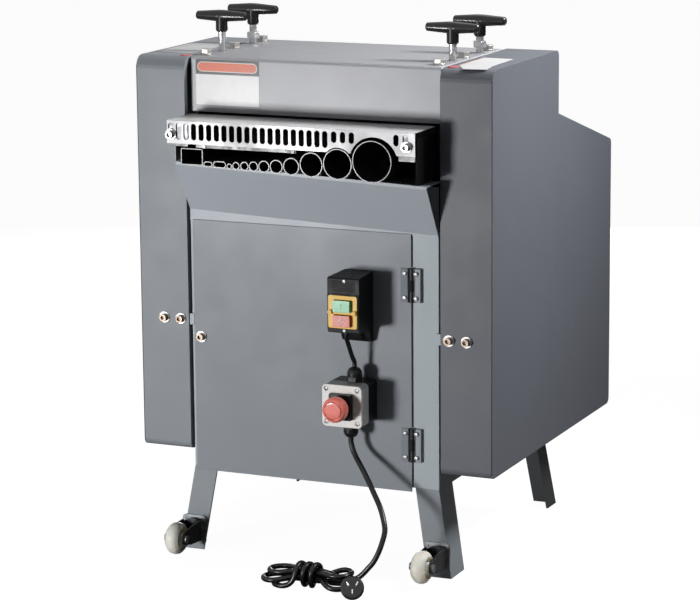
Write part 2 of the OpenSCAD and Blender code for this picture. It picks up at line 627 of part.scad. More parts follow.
// Switch box: upright front, level underside, and a rounded hook below it at the door
module switch_box() color(dark) seat() {
    y0 = door_y - switch_d;
    difference() {
        union() {
            intersection() {
                along_x(switch_x - switch_w / 2, switch_x + switch_w / 2) polygon(concat(
                    [[y0 + 2, switch_z], [y0, switch_z + 2], [y0, switch_z + switch_h - 2], [y0 + 2, switch_z + switch_h],
                    [door_y, switch_z + switch_h + 2], [door_y, switch_z - 22]],
                    [for (a = [0:30:180]) [door_y - 9 - 8 * sin(a / 2), switch_z - 22 + 8 - 8 * cos(a)]],
                    [[door_y - 22, switch_z]]));
                translate([switch_x, 0, switch_z - 40]) linear_extrude(switch_h + 50) polygon([
                    [-switch_w / 2, y0], [switch_w / 2, y0], [switch_w / 2 - 3, door_y], [-switch_w / 2 + 3, door_y]]);
            }
            // raised frame round the button plate, and ribs above it
            along_y(y0 - 1.5, y0 + 1) difference() {
                translate([switch_x - 26, switch_z + 6]) square([52, 55]);
                translate([switch_x - 24.5, switch_z + 7.5]) square([49, 52]);
            }
            for (i = [0:4]) box([switch_x - 19, switch_x + 19], [y0 - 0.8, y0 + 1],
                [switch_z + 65 + i * 3.6, switch_z + 66.6 + i * 3.6]);
        }
        // wells of the two push buttons
        for (z = button_zs) box([switch_x - 14.6, switch_x + 14.6], [y0 - 3, y0 + 20], [z - 9.6, z + 9.6]);
        rod_y(door_y - 30, door_y + 1, switch_x, switch_z + 50, 8);
    }
    // two cover screws
    for (z = [switch_z + 4, switch_z + switch_h - 5]) rod_y(y0 - 1.2, y0 + 0.5, switch_x + 2, z, 3);
}

module switch_plate() color("#e6b53c") seat() difference() {
    union() {
        along_y(door_y - switch_d - 3, door_y - switch_d) polygon(smooth([
            [switch_x - 24, switch_z + 8], [switch_x - 24, switch_z + 59], [switch_x + 24, switch_z + 59],
            [switch_x + 24, switch_z + 8]], [3, 3, 3, 3]));
        for (s = [-1, 1]) rod_y(door_y - switch_d - 7, door_y - switch_d - 2, switch_x + s * 20, switch_z + 33, 3.6);
    }
    for (z = button_zs) box([switch_x - 14.6, switch_x + 14.6], [door_y - switch_d - 9, door_y - switch_d + 2],
        [z - 9.6, z + 9.6]);
}
module button(z) seat() along_y(door_y - switch_d - 9, door_y - switch_d + 12) polygon(smooth([
    [switch_x - 14, z - 9], [switch_x - 14, z + 9], [switch_x + 14, z + 9], [switch_x + 14, z - 9]], [2, 2, 2, 2]));
module green_button() color("#4fae86") button(button_zs[0]);
module red_button() color("#d8604f") button(button_zs[1]);

// Black base of the stop box with a square collar in front, a gland above and a gland below
module gland(x, z, up) translate([x, gland_y, z]) mirror([0, 0, up ? 0 : 1]) {
    translate([0, 0, -0.5]) cylinder(h = 2, r = 3.8);
    translate([0, 0, 0.1]) cylinder(h = 8.4, r = 12.5, $fn = 6);
    translate([0, 0, 8]) rotate_extrude() polygon([[0, 0], [11.5, 0], [11.5, 7], [10, 11], [7, 14], [0, 14]]);
}
module stop_base() color(dark) seat() {
    difference() {
        union() {
            along_y(stop_face_y + 28, door_y) polygon(smooth([
                [stop_x - 33, stop_z - 33], [stop_x - 33, stop_z + 33], [stop_x + 33, stop_z + 33],
                [stop_x + 33, stop_z - 33]], [6, 6, 6, 6]));
            along_y(stop_face_y - 9, stop_face_y + 29) square_at(18, 20);
        }
        rod_y(stop_face_y - 10, stop_face_y + 46, stop_x, stop_z, 11 + run_gap);
    }
    gland(link_x, stop_z + 33, true);
    gland(cord_x, stop_z - 33, false);
}
// A square of half-width w and half-height h in the middle of the stop box
module square_at(w, h) translate([stop_x - w, stop_z - h]) square([2 * w, 2 * h]);
module stop_cover() color("#dedcd6") seat() {
    h = stop_box / 2;
    difference() {
        along_y(stop_face_y, stop_face_y + 28 - seat_gap) polygon(smooth([
            [stop_x - h, stop_z - h], [stop_x - h, stop_z + h], [stop_x + h, stop_z + h], [stop_x + h, stop_z - h]],
            [7, 7, 7, 7]));
        along_y(stop_face_y - 1, stop_face_y + 29) square_at(18 + seat_gap, 20 + seat_gap);
        for (x = [-1, 1], z = [-1, 1]) rod_y(stop_face_y - 1, stop_face_y + 3, stop_x + x * 26, stop_z + z * 26, 3.6);
    }
    for (x = [-1, 1], z = [-1, 1]) rod_y(stop_face_y + 1, stop_face_y + 3, stop_x + x * 26, stop_z + z * 26, 3);
}
module stop_stem() color(dark) seat() rod_y(stop_face_y - 21, stop_face_y + 34, stop_x, stop_z, 11);
// Mushroom head: domed face, rounded rim and a hollow that turns on the stem
module stop_head() color("#cc4138") seat() translate([stop_x, stop_face_y, stop_z]) rotate([90, 0, 0])
    rotate_extrude($fn = 64) polygon(concat(
        [[0, 21.3], [11 + run_gap, 21.3], [11 + run_gap, 14], [mushroom_d / 2 - 5, 15]],
        [for (a = [-80:20:80]) [mushroom_d / 2 - 4 + 4 * cos(a), 22 + 6 * sin(a)]],
        [[mushroom_d / 2 - 6, 31], [8, 34.5], [0, 35]]));

// Upper bearing blocks, one pair for each upper shaft
module block_pair(y) both() difference() {
    box([plate_in_x - 3, plate_out_x + 3], [y - block_w / 2 + block_gap, y + block_w / 2 - block_gap],
        [block_low_z, block_low_z + block_h]);
    rod_x(plate_in_x - 6, plate_out_x + 6, y, upper_z, upper_shaft_r + run_gap);
    translate([plate_x, y, block_low_z + block_h - 10]) cylinder(h = 20, r = spindle_d / 2 + run_gap);
}
module front_blocks() color(steel) seat() block_pair(front_shaft_y);
module rear_blocks() color(steel) seat() block_pair(rear_shaft_y);

module spindle(s, y, nut) color(steel) seat() translate([s * plate_x, y, 0]) {
    z0 = block_low_z + block_h - 9.7;
    translate([0, 0, z0]) cylinder(h = grip_z(s) - 4 - z0, r = spindle_d / 2);
    if (nut) translate([0, 0, top_z + 9]) difference() {
        hex_head(19, 9.5);
        translate([0, 0, -1]) cylinder(h = 12, r = spindle_d / 2);
    }
}
module spindle_front_left() spindle(-1, front_shaft_y, false);
module spindle_front_right() spindle(1, front_shaft_y, false);
module spindle_rear_left() spindle(-1, rear_shaft_y, true);
module spindle_rear_right() spindle(1, rear_shaft_y, true);

// T-handle: a bar that tapers to both ends on a round hub with a small foot ring
function grip_z(s) = s < 0 ? bar_z : bar_z - bar_drop;
module grip(s, y) color(dark) seat() translate([s * plate_x, y, grip_z(s)]) difference() {
    union() {
        rotate([0, 90, 0]) rotate_extrude() polygon(concat(
            [[0, -bar_len / 2], [5, -bar_len / 2], [6.6, -bar_len / 2 + 1.6], [6.9, -bar_len / 2 + 5]],
            [[9.3, -6], [9.3, 6]],
            [[6.9, bar_len / 2 - 5], [6.6, bar_len / 2 - 1.6], [5, bar_len / 2], [0, bar_len / 2]]));
        translate([0, 0, -23]) cylinder(h = 23, r = hub_d / 2);
        translate([0, 0, -25]) cylinder(h = 2.5, r1 = hub_d / 2 - 2, r2 = hub_d / 2);
    }
    translate([0, 0, -30]) cylinder(h = 26, r = spindle_d / 2);
}
module grip_front_left() grip(-1, front_shaft_y);
module grip_front_right() grip(1, front_shaft_y);
module grip_rear_left() grip(-1, rear_shaft_y);
module grip_rear_right() grip(1, rear_shaft_y);

// Flanged bushes of the lower shafts
module bearings() color(steel) seat() both() for (y = shaft_ys) difference() {
    union() {
        rod_x(plate_in_x, plate_out_x + 3, y, lower_z, bush_r);
        rod_x(plate_in_x - 3, plate_in_x, y, lower_z, bush_r + 4);
    }
    rod_x(plate_in_x - 4, plate_out_x + 4, y, lower_z, lower_shaft_r + run_gap);
}

// Half of the outline of a grooved roller: a V groove under every tube
groove = 3;
function groove_pts(xs) = [for (x = xs) each [[roller_r, x - groove], [roller_r - groove, x], [roller_r, x + groove]]];
module lower_roller(y, x_end) translate([0, y, lower_z]) rotate([0, 90, 0]) rotate_extrude($fn = 72)
    polygon(concat([[0, -plate_out_x - 6], [lower_shaft_r, -plate_out_x - 6], [lower_shaft_r, -roller_half],
        [roller_r, -roller_half]], groove_pts(channel_x),
        [[roller_r, roller_half], [lower_shaft_r, roller_half], [lower_shaft_r, x_end], [0, x_end]]));
module front_roller() color(steel) seat() lower_roller(front_shaft_y, gear_x + gear_w + 4);
module rear_roller() color(steel) seat() lower_roller(rear_shaft_y, pulley_x + pulley_w + 4);

// Ribbed upper roller with twenty shallow flutes
flutes = 20;
module upper_roller() color(steel) seat() translate([0, front_shaft_y, upper_z]) rotate([0, 90, 0]) {
    difference() {
        translate([0, 0, -roller_half]) cylinder(h = 2 * roller_half, r = upper_roller_r);
        for (i = [0:flutes - 1]) rotate([0, 0, i * 360 / flutes]) translate([upper_roller_r + 1, 0, -roller_half - 1])
            cylinder(h = 2 * roller_half + 2, r = 2.4);
    }
    translate([0, 0, -plate_out_x - 6]) cylinder(h = 2 * plate_out_x + 12, r = upper_shaft_r);
}

// Blade shaft: sleeves on the shaft leave a seat for each blade
module blade_shaft() color(steel) seat() translate([0, rear_shaft_y, upper_z]) rotate([0, 90, 0])
    rotate_extrude($fn = 64) {
        translate([0, -plate_out_x - 6]) square([upper_shaft_r, 2 * plate_out_x + 12]);
        difference() {
            translate([upper_shaft_r - 1, -roller_half]) square([6, 2 * roller_half]);
            for (x = channel_x) translate([upper_shaft_r, x - blade_t / 2 - run_gap])
                square([10, blade_t + 2 * run_gap]);
        }
    }
// Round blades with a double bevel to a sharp rim
module blades() color(steel) seat() for (x = channel_x) translate([x, rear_shaft_y, upper_z]) rotate([0, 90, 0])
    rotate_extrude($fn = 72) polygon([[upper_shaft_r + run_gap, -blade_t / 2], [blade_r - 5, -blade_t / 2],
        [blade_r, 0], [blade_r - 5, blade_t / 2], [upper_shaft_r + run_gap, blade_t / 2]]);

// Spur gear outline with involute flanks
function inv(a) = tan(a) * 180 / PI - a;
function gear_pts(z, backlash) = let (rp = gear_m * z / 2, rb = rp * cos(20), rf = rp - 1.25 * gear_m,
        ra = rp + gear_m * 0.95, r0 = max(rb, rf) + 0.01,
        half = 90 / z + inv(20) - backlash / rp * 90 / PI,
        side = [for (i = [0:4]) let (r = r0 + (ra - r0) * i / 4) [r, half - inv(acos(rb / r))]])
    [for (k = [0:z - 1]) let (c = k * 360 / z)
        each concat([rf * [cos(c - side[0][1]), sin(c - side[0][1])]],
            [for (i = [0:4]) side[i][0] * [cos(c - side[i][1]), sin(c - side[i][1])]],
            [for (i = [4:-1:0]) side[i][0] * [cos(c + side[i][1]), sin(c + side[i][1])]],
            [rf * [cos(c + side[0][1]), sin(c + side[0][1])]])];
module gear(y, z, turn, bore) translate([0, y, lower_z]) along_x(gear_x, gear_x + gear_w)
    rotate([0, 0, turn]) difference() {
        polygon(gear_pts(z, 0.3));
        circle(bore);
        if (z > 30) for (a = [0:60:300]) rotate([0, 0, a + 30]) translate([25, 0]) circle(5);
    }
module front_gear() color(steel) seat() gear(front_shaft_y, gear_z, 0, lower_shaft_r);
module idler_gear() color(steel) seat() gear(stud_y, idler_z, 0, 8 + run_gap);
module rear_gear() color(steel) seat() gear(rear_shaft_y, gear_z, 180 / gear_z, lower_shaft_r);

// V-belt pulley of pitch radius r, with a web and four holes when it is large
module pulley(y, z, r, bore) translate([pulley_x, y, z]) rotate([0, 90, 0]) difference() {
    rotate_extrude($fn = 72) polygon([[bore, 0], [r + 5, 0], [r + 5, 2.5], [r - 1, 4.2], [r - 1, pulley_w - 4.2],
        [r + 5, pulley_w - 2.5], [r + 5, pulley_w], [bore, pulley_w]]);
    if (r > 60) for (a = [0:60:300]) rotate([0, 0, a]) translate([r * 0.6, 0, -1]) cylinder(h = pulley_w + 2, r = 12);
}
module shaft_pulley() color(dark) seat() pulley(rear_shaft_y, lower_z, shaft_pulley_d / 2, lower_shaft_r);
module motor_pulley() color(dark) seat() {
    pulley(motor_y, motor_z, motor_pulley_d / 2, 9);
    rod_x(gearbox_x + 62, pulley_x + pulley_w + 3, motor_y, motor_z, 10);
}
// Closed loop round two circles, as arcs of five-degree steps joined by tangents
function loop(a, ra, b, rb) = let (d = norm(b - a), t = atan2(b[1] - a[1], b[0] - a[0]), w = acos((ra - rb) / d))
    concat([for (i = [0:48]) let (g = t + w + (360 - 2 * w) * i / 48) a + ra * [cos(g), sin(g)]],
        [for (i = [0:32]) let (g = t - w + 2 * w * i / 32) b + rb * [cos(g), sin(g)]]);
module drive_belt() color("#26282b") seat() along_x(pulley_x + 4.4, pulley_x + pulley_w - 4.4) difference() {
    polygon(loop([rear_shaft_y, lower_z], shaft_pulley_d / 2 + belt_t, [motor_y, motor_z], motor_pulley_d / 2 + belt_t));
    polygon(loop([rear_shaft_y, lower_z], shaft_pulley_d / 2 - 0.5, [motor_y, motor_z], motor_pulley_d / 2 - 0.5));
}

// Gearbox with its foot on the cabinet floor, and the motor flanged to its left side
gearbox_x = 60;
module gearbox() color("#7d8287") seat() difference() {
    union() {
        along_x(gearbox_x, gearbox_x + 110) polygon(smooth([[motor_y - 62, motor_z - 60], [motor_y - 62, motor_z + 52],
            [motor_y + 62, motor_z + 52], [motor_y + 62, motor_z - 60]], [12, 26, 26, 12]));
        box([gearbox_x + 4, gearbox_x + 106], [motor_y - 74, motor_y + 74], [body_bottom_z + sheet_t, body_bottom_z + 14]);
        for (x = [gearbox_x + 14, gearbox_x + 84]) box([x, x + 12], [motor_y - 58, motor_y + 58],
            [body_bottom_z + 10, motor_z - 55]);
        rod_x(gearbox_x + 105, gearbox_x + 128, motor_y, motor_z, 32);
    }
    rod_x(gearbox_x + 60, gearbox_x + 130, motor_y, motor_z, 10 + run_gap);
}
motor_r = 62;
module motor() color("#4c6378") seat() {
    rod_x(gearbox_x - 200, gearbox_x - 14, motor_y, motor_z, motor_r);
    rod_x(gearbox_x - 15, gearbox_x, motor_y, motor_z, motor_r + 12);
    rod_x(gearbox_x - 240, gearbox_x - 199, motor_y, motor_z, motor_r + 2);
    for (i = [0:23]) translate([0, motor_y, motor_z]) rotate([i * 15 + 7.5, 0, 0])
        box([gearbox_x - 190, gearbox_x - 24], [-1.2, 1.2], [motor_r - 2, motor_r + 7]);
    box([gearbox_x - 150, gearbox_x - 70], [motor_y - 45, motor_y + 45], [motor_z + motor_r - 6, motor_z + motor_r + 34]);
}

module outlet_chute() color(paint) seat() {
    y1 = cabinet_back_y + 60;
    z1 = outlet_z(y1);
    along_x(-half_body, half_body) polygon([[cabinet_top_y, outlet_z(cabinet_top_y)], [y1, z1], [y1, z1 - 12],
        [y1 + 2, z1 - 12], [y1 + 2, z1 + sheet_t], [cabinet_top_y, outlet_z(cabinet_top_y) + sheet_t]]);
    both() along_x(half_body - sheet_t, half_body) polygon([[cabinet_top_y, outlet_z(cabinet_top_y)], [y1, z1],
        [y1 - 10, z1 + 28], [cabinet_top_y + 12, outlet_z(cabinet_top_y + 12) + 50],
        [cabinet_top_y, outlet_z(cabinet_top_y) + 50]]);
}

// A tube swept along points: rings of n corners, each square to the path
function cross3(a, b) = [a[1] * b[2] - a[2] * b[1], a[2] * b[0] - a[0] * b[2], a[0] * b[1] - a[1] * b[0]];
function along(p, i) = unit2(p[min(i + 1, len(p) - 1)] - p[max(i - 1, 0)]);
module sweep(p, r, n) {
    rings = [for (i = [0:len(p) - 1]) let (t = along(p, i), u = unit2(cross3(t, [1, 0.2, 0])), v = cross3(t, u))
        [for (k = [0:n - 1]) p[i] + r * (u * cos(k * 360 / n) + v * sin(k * 360 / n))]];
    last = (len(p) - 1) * n;
    polyhedron([for (g = rings) each g], concat(
        [[for (k = [0:n - 1]) k]], [[for (k = [n - 1:-1:0]) last + k]],
        [for (i = [0:len(p) - 2], k = [0:n - 1]) [i * n + k, (i + 1) * n + k, (i + 1) * n + (k + 1) % n, i * n + (k + 1) % n]]));
}
module link_cable() color(dark) seat() sweep([[link_top[0], link_top[1], switch_z], [link_top[0], link_top[1], switch_z - 4],
    [78, -43, 376], [80, -38, 362], [82, -33, 348], [link_x, -28.4, 338],
    [link_x, gland_y, 333], [link_x, gland_y, stop_z + 55.1]], link_d / 2, 12);
module mains_cord() color(dark) seat() sweep(cord_pts, cord_d / 2, 12);
module hank_outline(l, w) {
    square([l - w, w], center = true);
    for (s = [-1, 1]) translate([s * (l - w) / 2, 0]) circle(w / 2);
}
module cord_hank() color(dark) seat() translate([hank_c[0], hank_c[1], 0.2]) linear_extrude(hank_h)
    hank_outline(hank_l, hank_w);
// Moulded plug that leans on its rim, with two slanted flat pins and an upright one
module plug() color(dark) seat() translate(plug_p) rotate([63, 0, 24]) {
    rotate_extrude() polygon([[0, 0], [15.5, 0], [18, -2.5], [18, -9], [14, -16], [13, -21], [7, -23], [4.5, -42], [0, -42]]);
    for (p = [[-7, 3, 30], [7, 3, -30], [0, -9, 0]]) translate([p[0], p[1], -1]) rotate([0, 0, p[2]])
        translate([-0.9, -3.2, 0]) cube([1.8, 6.4, 18]);
}

front_frame();
cabinet();
legs_front();
legs_rear();
side_plates();
cap_bars();
bolts();
top_cover();
cover_left();
cover_right();
feed_box();
chute_panel();
guard();
guard_fixings();
flat_tubes();
round_tubes();
caster_brackets();
wheel_left();
wheel_right();
hinge_leaves();
outlet_chute();
motor();
gearbox();
bearings();
drive_belt();
front_roller();
rear_roller();
front_gear();
rear_gear();
idler_gear();
shaft_pulley();
motor_pulley();
front_blocks();
rear_blocks();
upper_roller();
blade_shaft();
blades();
grip_front_left();
grip_front_right();
grip_rear_left();
grip_rear_right();
spindle_front_left();
spindle_front_right();
spindle_rear_left();
spindle_rear_right();
door_panel();
door_leaves();
latch_bolt();
switch_box();
switch_plate();
green_button();
red_button();
stop_base();
stop_cover();
stop_stem();
stop_head();
link_cable();
mains_cord();
cord_hank();
plug();
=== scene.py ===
import math

import bmesh
import bpy
import numpy as np
from mathutils import Matrix, Vector


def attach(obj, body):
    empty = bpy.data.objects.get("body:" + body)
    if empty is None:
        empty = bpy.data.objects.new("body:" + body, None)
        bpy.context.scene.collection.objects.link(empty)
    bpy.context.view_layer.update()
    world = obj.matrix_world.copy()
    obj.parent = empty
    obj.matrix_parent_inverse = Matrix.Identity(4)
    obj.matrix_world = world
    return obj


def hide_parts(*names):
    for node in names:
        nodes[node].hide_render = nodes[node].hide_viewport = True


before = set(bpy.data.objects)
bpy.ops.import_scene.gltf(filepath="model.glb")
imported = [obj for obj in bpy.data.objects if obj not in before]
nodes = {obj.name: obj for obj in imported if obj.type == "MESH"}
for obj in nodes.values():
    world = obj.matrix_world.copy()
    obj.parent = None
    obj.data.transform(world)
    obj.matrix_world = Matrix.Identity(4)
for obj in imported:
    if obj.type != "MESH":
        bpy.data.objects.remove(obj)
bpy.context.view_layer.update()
mm = 0.001
depthMiddle = 230.25  # the cover fronts stand this many millimetres in front of the origin
imageWidth = 700  # the photograph's, in pixels


def place(x, y, z):  # millimetres from the middle, the cover fronts and the floor, to the frame's metres
    return (x * mm, (y - depthMiddle) * mm, z * mm)


# The camera stands where the photograph was taken from
cameraLook = {"azimuth": 23.964, "elevation": 11.485, "roll": -0.4915, "focalPixels": 2870.0,
              "sensor": 36.0, "at": place(1830.87, -3973.5, 1312.04)}
azimuth, elevation, roll = (math.radians(cameraLook[key]) for key in ("azimuth", "elevation", "roll"))
forward = Vector((-math.sin(azimuth) * math.cos(elevation), math.cos(azimuth) * math.cos(elevation),
                  -math.sin(elevation)))
right = Vector((math.cos(azimuth), math.sin(azimuth), 0.0))
up = right.cross(forward)
across = right * math.cos(roll) + up * math.sin(roll)
upward = up * math.cos(roll) - right * math.sin(roll)
camera = bpy.data.objects.new("camera", bpy.data.cameras.new("camera"))
camera.data.sensor_width = cameraLook["sensor"]
camera.data.lens = cameraLook["focalPixels"] / imageWidth * cameraLook["sensor"]
camera.data.clip_end = 100.0
camera.matrix_world = Matrix((across, upward, -forward)).transposed().to_4x4()
camera.location = cameraLook["at"]
bpy.context.scene.collection.objects.link(camera)
bpy.context.scene.camera = camera
print("camera ready")


def addMesh(name, points, faces, smooth=True):  # an object at the origin, whose place is in its mesh
    mesh = bpy.data.meshes.new(name)
    faceLists = faces if isinstance(faces, list) else faces.tolist()
    mesh.from_pydata(np.asarray(points, float).tolist(), [], faceLists)
    mesh.update()
    if smooth:
        mesh.shade_smooth()
    piece = bpy.data.objects.new(name, mesh)
    bpy.context.scene.collection.objects.link(piece)
    return piece


# The mains cord leaves the stop box, drops to the floor and is folded into a hank that its own end winds round.
# Points are in millimetres. The hank's runs lie in layers, two beside each other, and the winding is an oval
cordLook = {"thickness": 8.4, "sides": 16, "step": 4.0, "fineStep": 2.0, "hankDepth": -128.0,
            "layers": (28.4, 19.7, 11.0), "beside": 4.6, "waist": (34, 51, 68),
            "turns": 2.69, "startAngle": -35, "wrapFrom": 29.0, "wrapTo": 66.0, "wrapPoints": 37,
            "wrapOval": (14.4, 16.3), "wrapHeight": 20.6}
cordDrop = [(77, -28, 219), (77, -28, 211), (80, -29, 200), (87, -33, 189), (99, -41, 177),
            (115, -52, 160), (132, -66, 142), (147, -79, 126), (158, -91, 110), (164, -100, 96),
            (164, -109, 82), (160, -116, 65), (153, -120, 50), (145, -122, 40), (137, -124, 31),
            (131, -125, 25), (126, -126, 21)]
middle = cordLook["hankDepth"]


def strand(side, height, toLeft):  # one run of cord, straight through the waist of the hank
    waist = cordLook["waist"]
    return [(x, middle + side, height) for x in (waist[::-1] if toLeft else waist)]


def fold(x, y, z, radius, left):  # the turn at one end of the hank: five points on half a circle
    angles = np.radians(np.linspace(90, 270, 5) if left else np.linspace(-90, 90, 5))
    return [(x + radius * math.cos(a), y + radius * math.sin(a), z) for a in angles]


upper, centre, lower = cordLook["layers"]
beside = cordLook["beside"]
hankRoute = [(112, -126, 19.3), (92, -124, 23.5)]
hankRoute += strand(beside, upper, True) + fold(0, -121, 22, 19, True) + strand(-beside, upper, False)
hankRoute += fold(97, -126, 28.5, 20, False) + strand(beside, centre, True) + fold(-3, -133, 12.5, 20, True)
hankRoute += strand(-beside, centre, False) + fold(92, -128, 10, 22, False) + strand(beside, lower, True)
hankRoute += [(16, -112, 8), (1, -114, 4.8), (-8, -127, 4.4), (-3, -142, 4.4), (9, -148, 4.8), (20, -146.5, 7)]
for part in np.linspace(0, 1, cordLook["wrapPoints"]):
    angle = math.radians(cordLook["startAngle"] + 360 * cordLook["turns"] * part)
    hankRoute.append((cordLook["wrapFrom"] + (cordLook["wrapTo"] - cordLook["wrapFrom"]) * part,
                      middle - cordLook["wrapOval"][0] * math.cos(angle),
                      cordLook["wrapHeight"] + cordLook["wrapOval"][1] * math.sin(angle)))
hankRoute += [(77, -107, 6.5), (85, -103, 5), (95, -102, 4.5), (107, -102, 4.3), (116.5, -109, 4.3),
              (121, -121, 4.3), (124.7, -135.5, 4.4)]


def evenly(points, step):  # the same line with points a step apart
    lengths = np.r_[0, np.cumsum(np.linalg.norm(np.diff(points, axis=0), axis=1))]
    marks = np.linspace(0, lengths[-1], int(round(lengths[-1] / step)) + 1)
    return np.stack([np.interp(marks, lengths, points[:, k]) for k in range(3)], 1)


def smoothLine(points, step):
    # A cubic between each pair of points. Its slope at a point is half the way from the last point to the next
    ends = np.vstack([2 * points[0] - points[1], points, 2 * points[-1] - points[-2]])
    made = []
    for a, b, c, d in zip(ends[:-3], ends[1:-2], ends[2:-1], ends[3:]):
        t = np.linspace(0, 1, max(2, int(np.linalg.norm(c - b))), endpoint=False)[:, None]
        made.append(0.5 * (2 * b + (c - a) * t + (2 * a - 5 * b + 4 * c - d) * t ** 2
                           + (3 * b - a - 3 * c + d) * t ** 3))
    return evenly(np.vstack(made + [points[-1:]]), step)


settleLook = {"rounds": 260, "neighbours": 3.2, "clear": 1.01, "relax": 0.02, "fair": 0.62, "push": 0.35,
              "band": (-23, 29), "evenRounds": 3, "even": 0.4}


def settleCord(line, thickness, step):
    # Each round a point moves towards the middle of its neighbours and the curve through the nearest four, runs
    # closer than a thickness push each other apart, nothing sinks into the floor, and steps regain their length
    order = np.arange(len(line))
    apart = np.abs(order[:, None] - order[None]) * step > settleLook["neighbours"] * thickness
    clear = thickness * settleLook["clear"]
    held = np.zeros(len(line), bool)  # the drop in front of the door and the end in the plug stay
    held[:int(np.argmin(np.linalg.norm(line - np.array(cordDrop[-4]), axis=1)))] = True
    held[-2:] = True
    for _ in range(settleLook["rounds"]):
        bend = np.zeros_like(line)
        bend[1:-1] = settleLook["relax"] * ((line[:-2] + line[2:]) / 2 - line[1:-1])
        curve = (4 * line[1:-3] + 4 * line[3:-1] - line[:-4] - line[4:]) / 6
        bend[2:-2] += settleLook["fair"] * (curve - line[2:-2])
        bend[held] = 0
        line = line + bend
        gap = line[:, None] - line[None]
        distance = np.maximum(np.sqrt((gap ** 2).sum(-1)), 1e-6)
        touching = apart & (distance < clear)
        force = (clear - distance) * settleLook["push"]
        push = np.where(touching[..., None], gap / distance[..., None] * force[..., None], 0).sum(1)
        push /= np.sqrt(np.maximum(touching.sum(1), 1))[:, None]
        push[held] = 0
        line = line + push
        free = ~held
        line[free, 2] = np.maximum(line[free, 2], thickness / 2)
        front, back = settleLook["band"]
        line[free, 1] = np.clip(line[free, 1], middle + front, middle + back)
        for _ in range(settleLook["evenRounds"]):
            edge = line[1:] - line[:-1]
            length = np.linalg.norm(edge, axis=1)[:, None]
            move = np.zeros_like(line)
            move[:-1] += settleLook["even"] * (length - step) / length * edge
            move[1:] -= settleLook["even"] * (length - step) / length * edge
            move[held] = 0
            line = line + move
    return line


def gridFaces(rows, columns, around=False, closed=False):  # quads of a grid of points, joined round if asked
    i = np.arange(rows if closed else rows - 1)[:, None]
    j = np.arange(columns if around else columns - 1)[None]
    nextColumn = (j + 1) % columns
    nextRow = (i + 1) % rows
    return np.stack([i * columns + j, i * columns + nextColumn, nextRow * columns + nextColumn,
                     nextRow * columns + j], -1).reshape(-1, 4)


def tube(name, line, radius, sides):
    # A circle carried along the line: each ring is square to it and turned as little as can be from the last
    along = np.gradient(line, axis=0)
    along /= np.linalg.norm(along, axis=1)[:, None]
    side = np.empty_like(along)
    last = np.cross(along[0], (0.3, 1.0, 0.2))  # any direction beside the line will do to start with
    for i, way in enumerate(along):
        last = last - way * last.dot(way)
        last /= np.linalg.norm(last)
        side[i] = last
    other = np.cross(along, side)
    angle = np.linspace(0, 2 * math.pi, sides, endpoint=False)[None, :, None]
    points = line[:, None] + radius * (np.cos(angle) * side[:, None] + np.sin(angle) * other[:, None])
    ends = [list(range(sides))[::-1], list(range((len(line) - 1) * sides, len(line) * sides))]
    return addMesh(name, points.reshape(-1, 3), gridFaces(len(line), sides, True).tolist() + ends)


cordLine = smoothLine(np.array(cordDrop + hankRoute, float), cordLook["step"])
cordLine = settleCord(cordLine, cordLook["thickness"], cordLook["step"])
cordLine = smoothLine(cordLine, cordLook["fineStep"])
cordPath = np.array([place(*p) for p in cordLine])
powerCord = tube("powerCord", cordPath, cordLook["thickness"] / 2 * mm, cordLook["sides"])
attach(powerCord, "door")
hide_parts("mains_cord", "cord_hank")
place(*cordDrop[0])


class Link:  # a socket of a shader node that can be used in sums
    def __init__(self, shade, socket):
        self.shade, self.socket = shade, socket

    def maths(self, operation, *others, first=None):  # a Math node on this socket, or on another one first
        values = {0: self if first is None else first}
        values.update({i + 1: other for i, other in enumerate(others)})
        return self.shade.add("ShaderNodeMath", {"operation": operation}, values)

    def __add__(self, other):
        return self.maths("ADD", other)

    def __sub__(self, other):
        return self.maths("SUBTRACT", other)

    def __rsub__(self, other):
        return self.maths("SUBTRACT", self, first=other)

    def __mul__(self, other):
        return self.maths("MULTIPLY", other)

    def __pow__(self, other):
        return self.maths("POWER", other)

    __radd__, __rmul__ = __add__, __mul__

    def size(self):  # without its sign
        return self.maths("ABSOLUTE")

    def ramp(self, low, high, toLow=0.0, toHigh=1.0):  # smooth step between two values
        return self.shade.add(
            "ShaderNodeMapRange", {"interpolation_type": "SMOOTHSTEP"},
            {0: self, 1: low, 2: high, 3: toLow, 4: toHigh})

    def within(self, low, high, soft=0.0002):  # 1 between two values and 0 outside
        return self.ramp(low - soft, low + soft) * (1 - self.ramp(high - soft, high + soft))


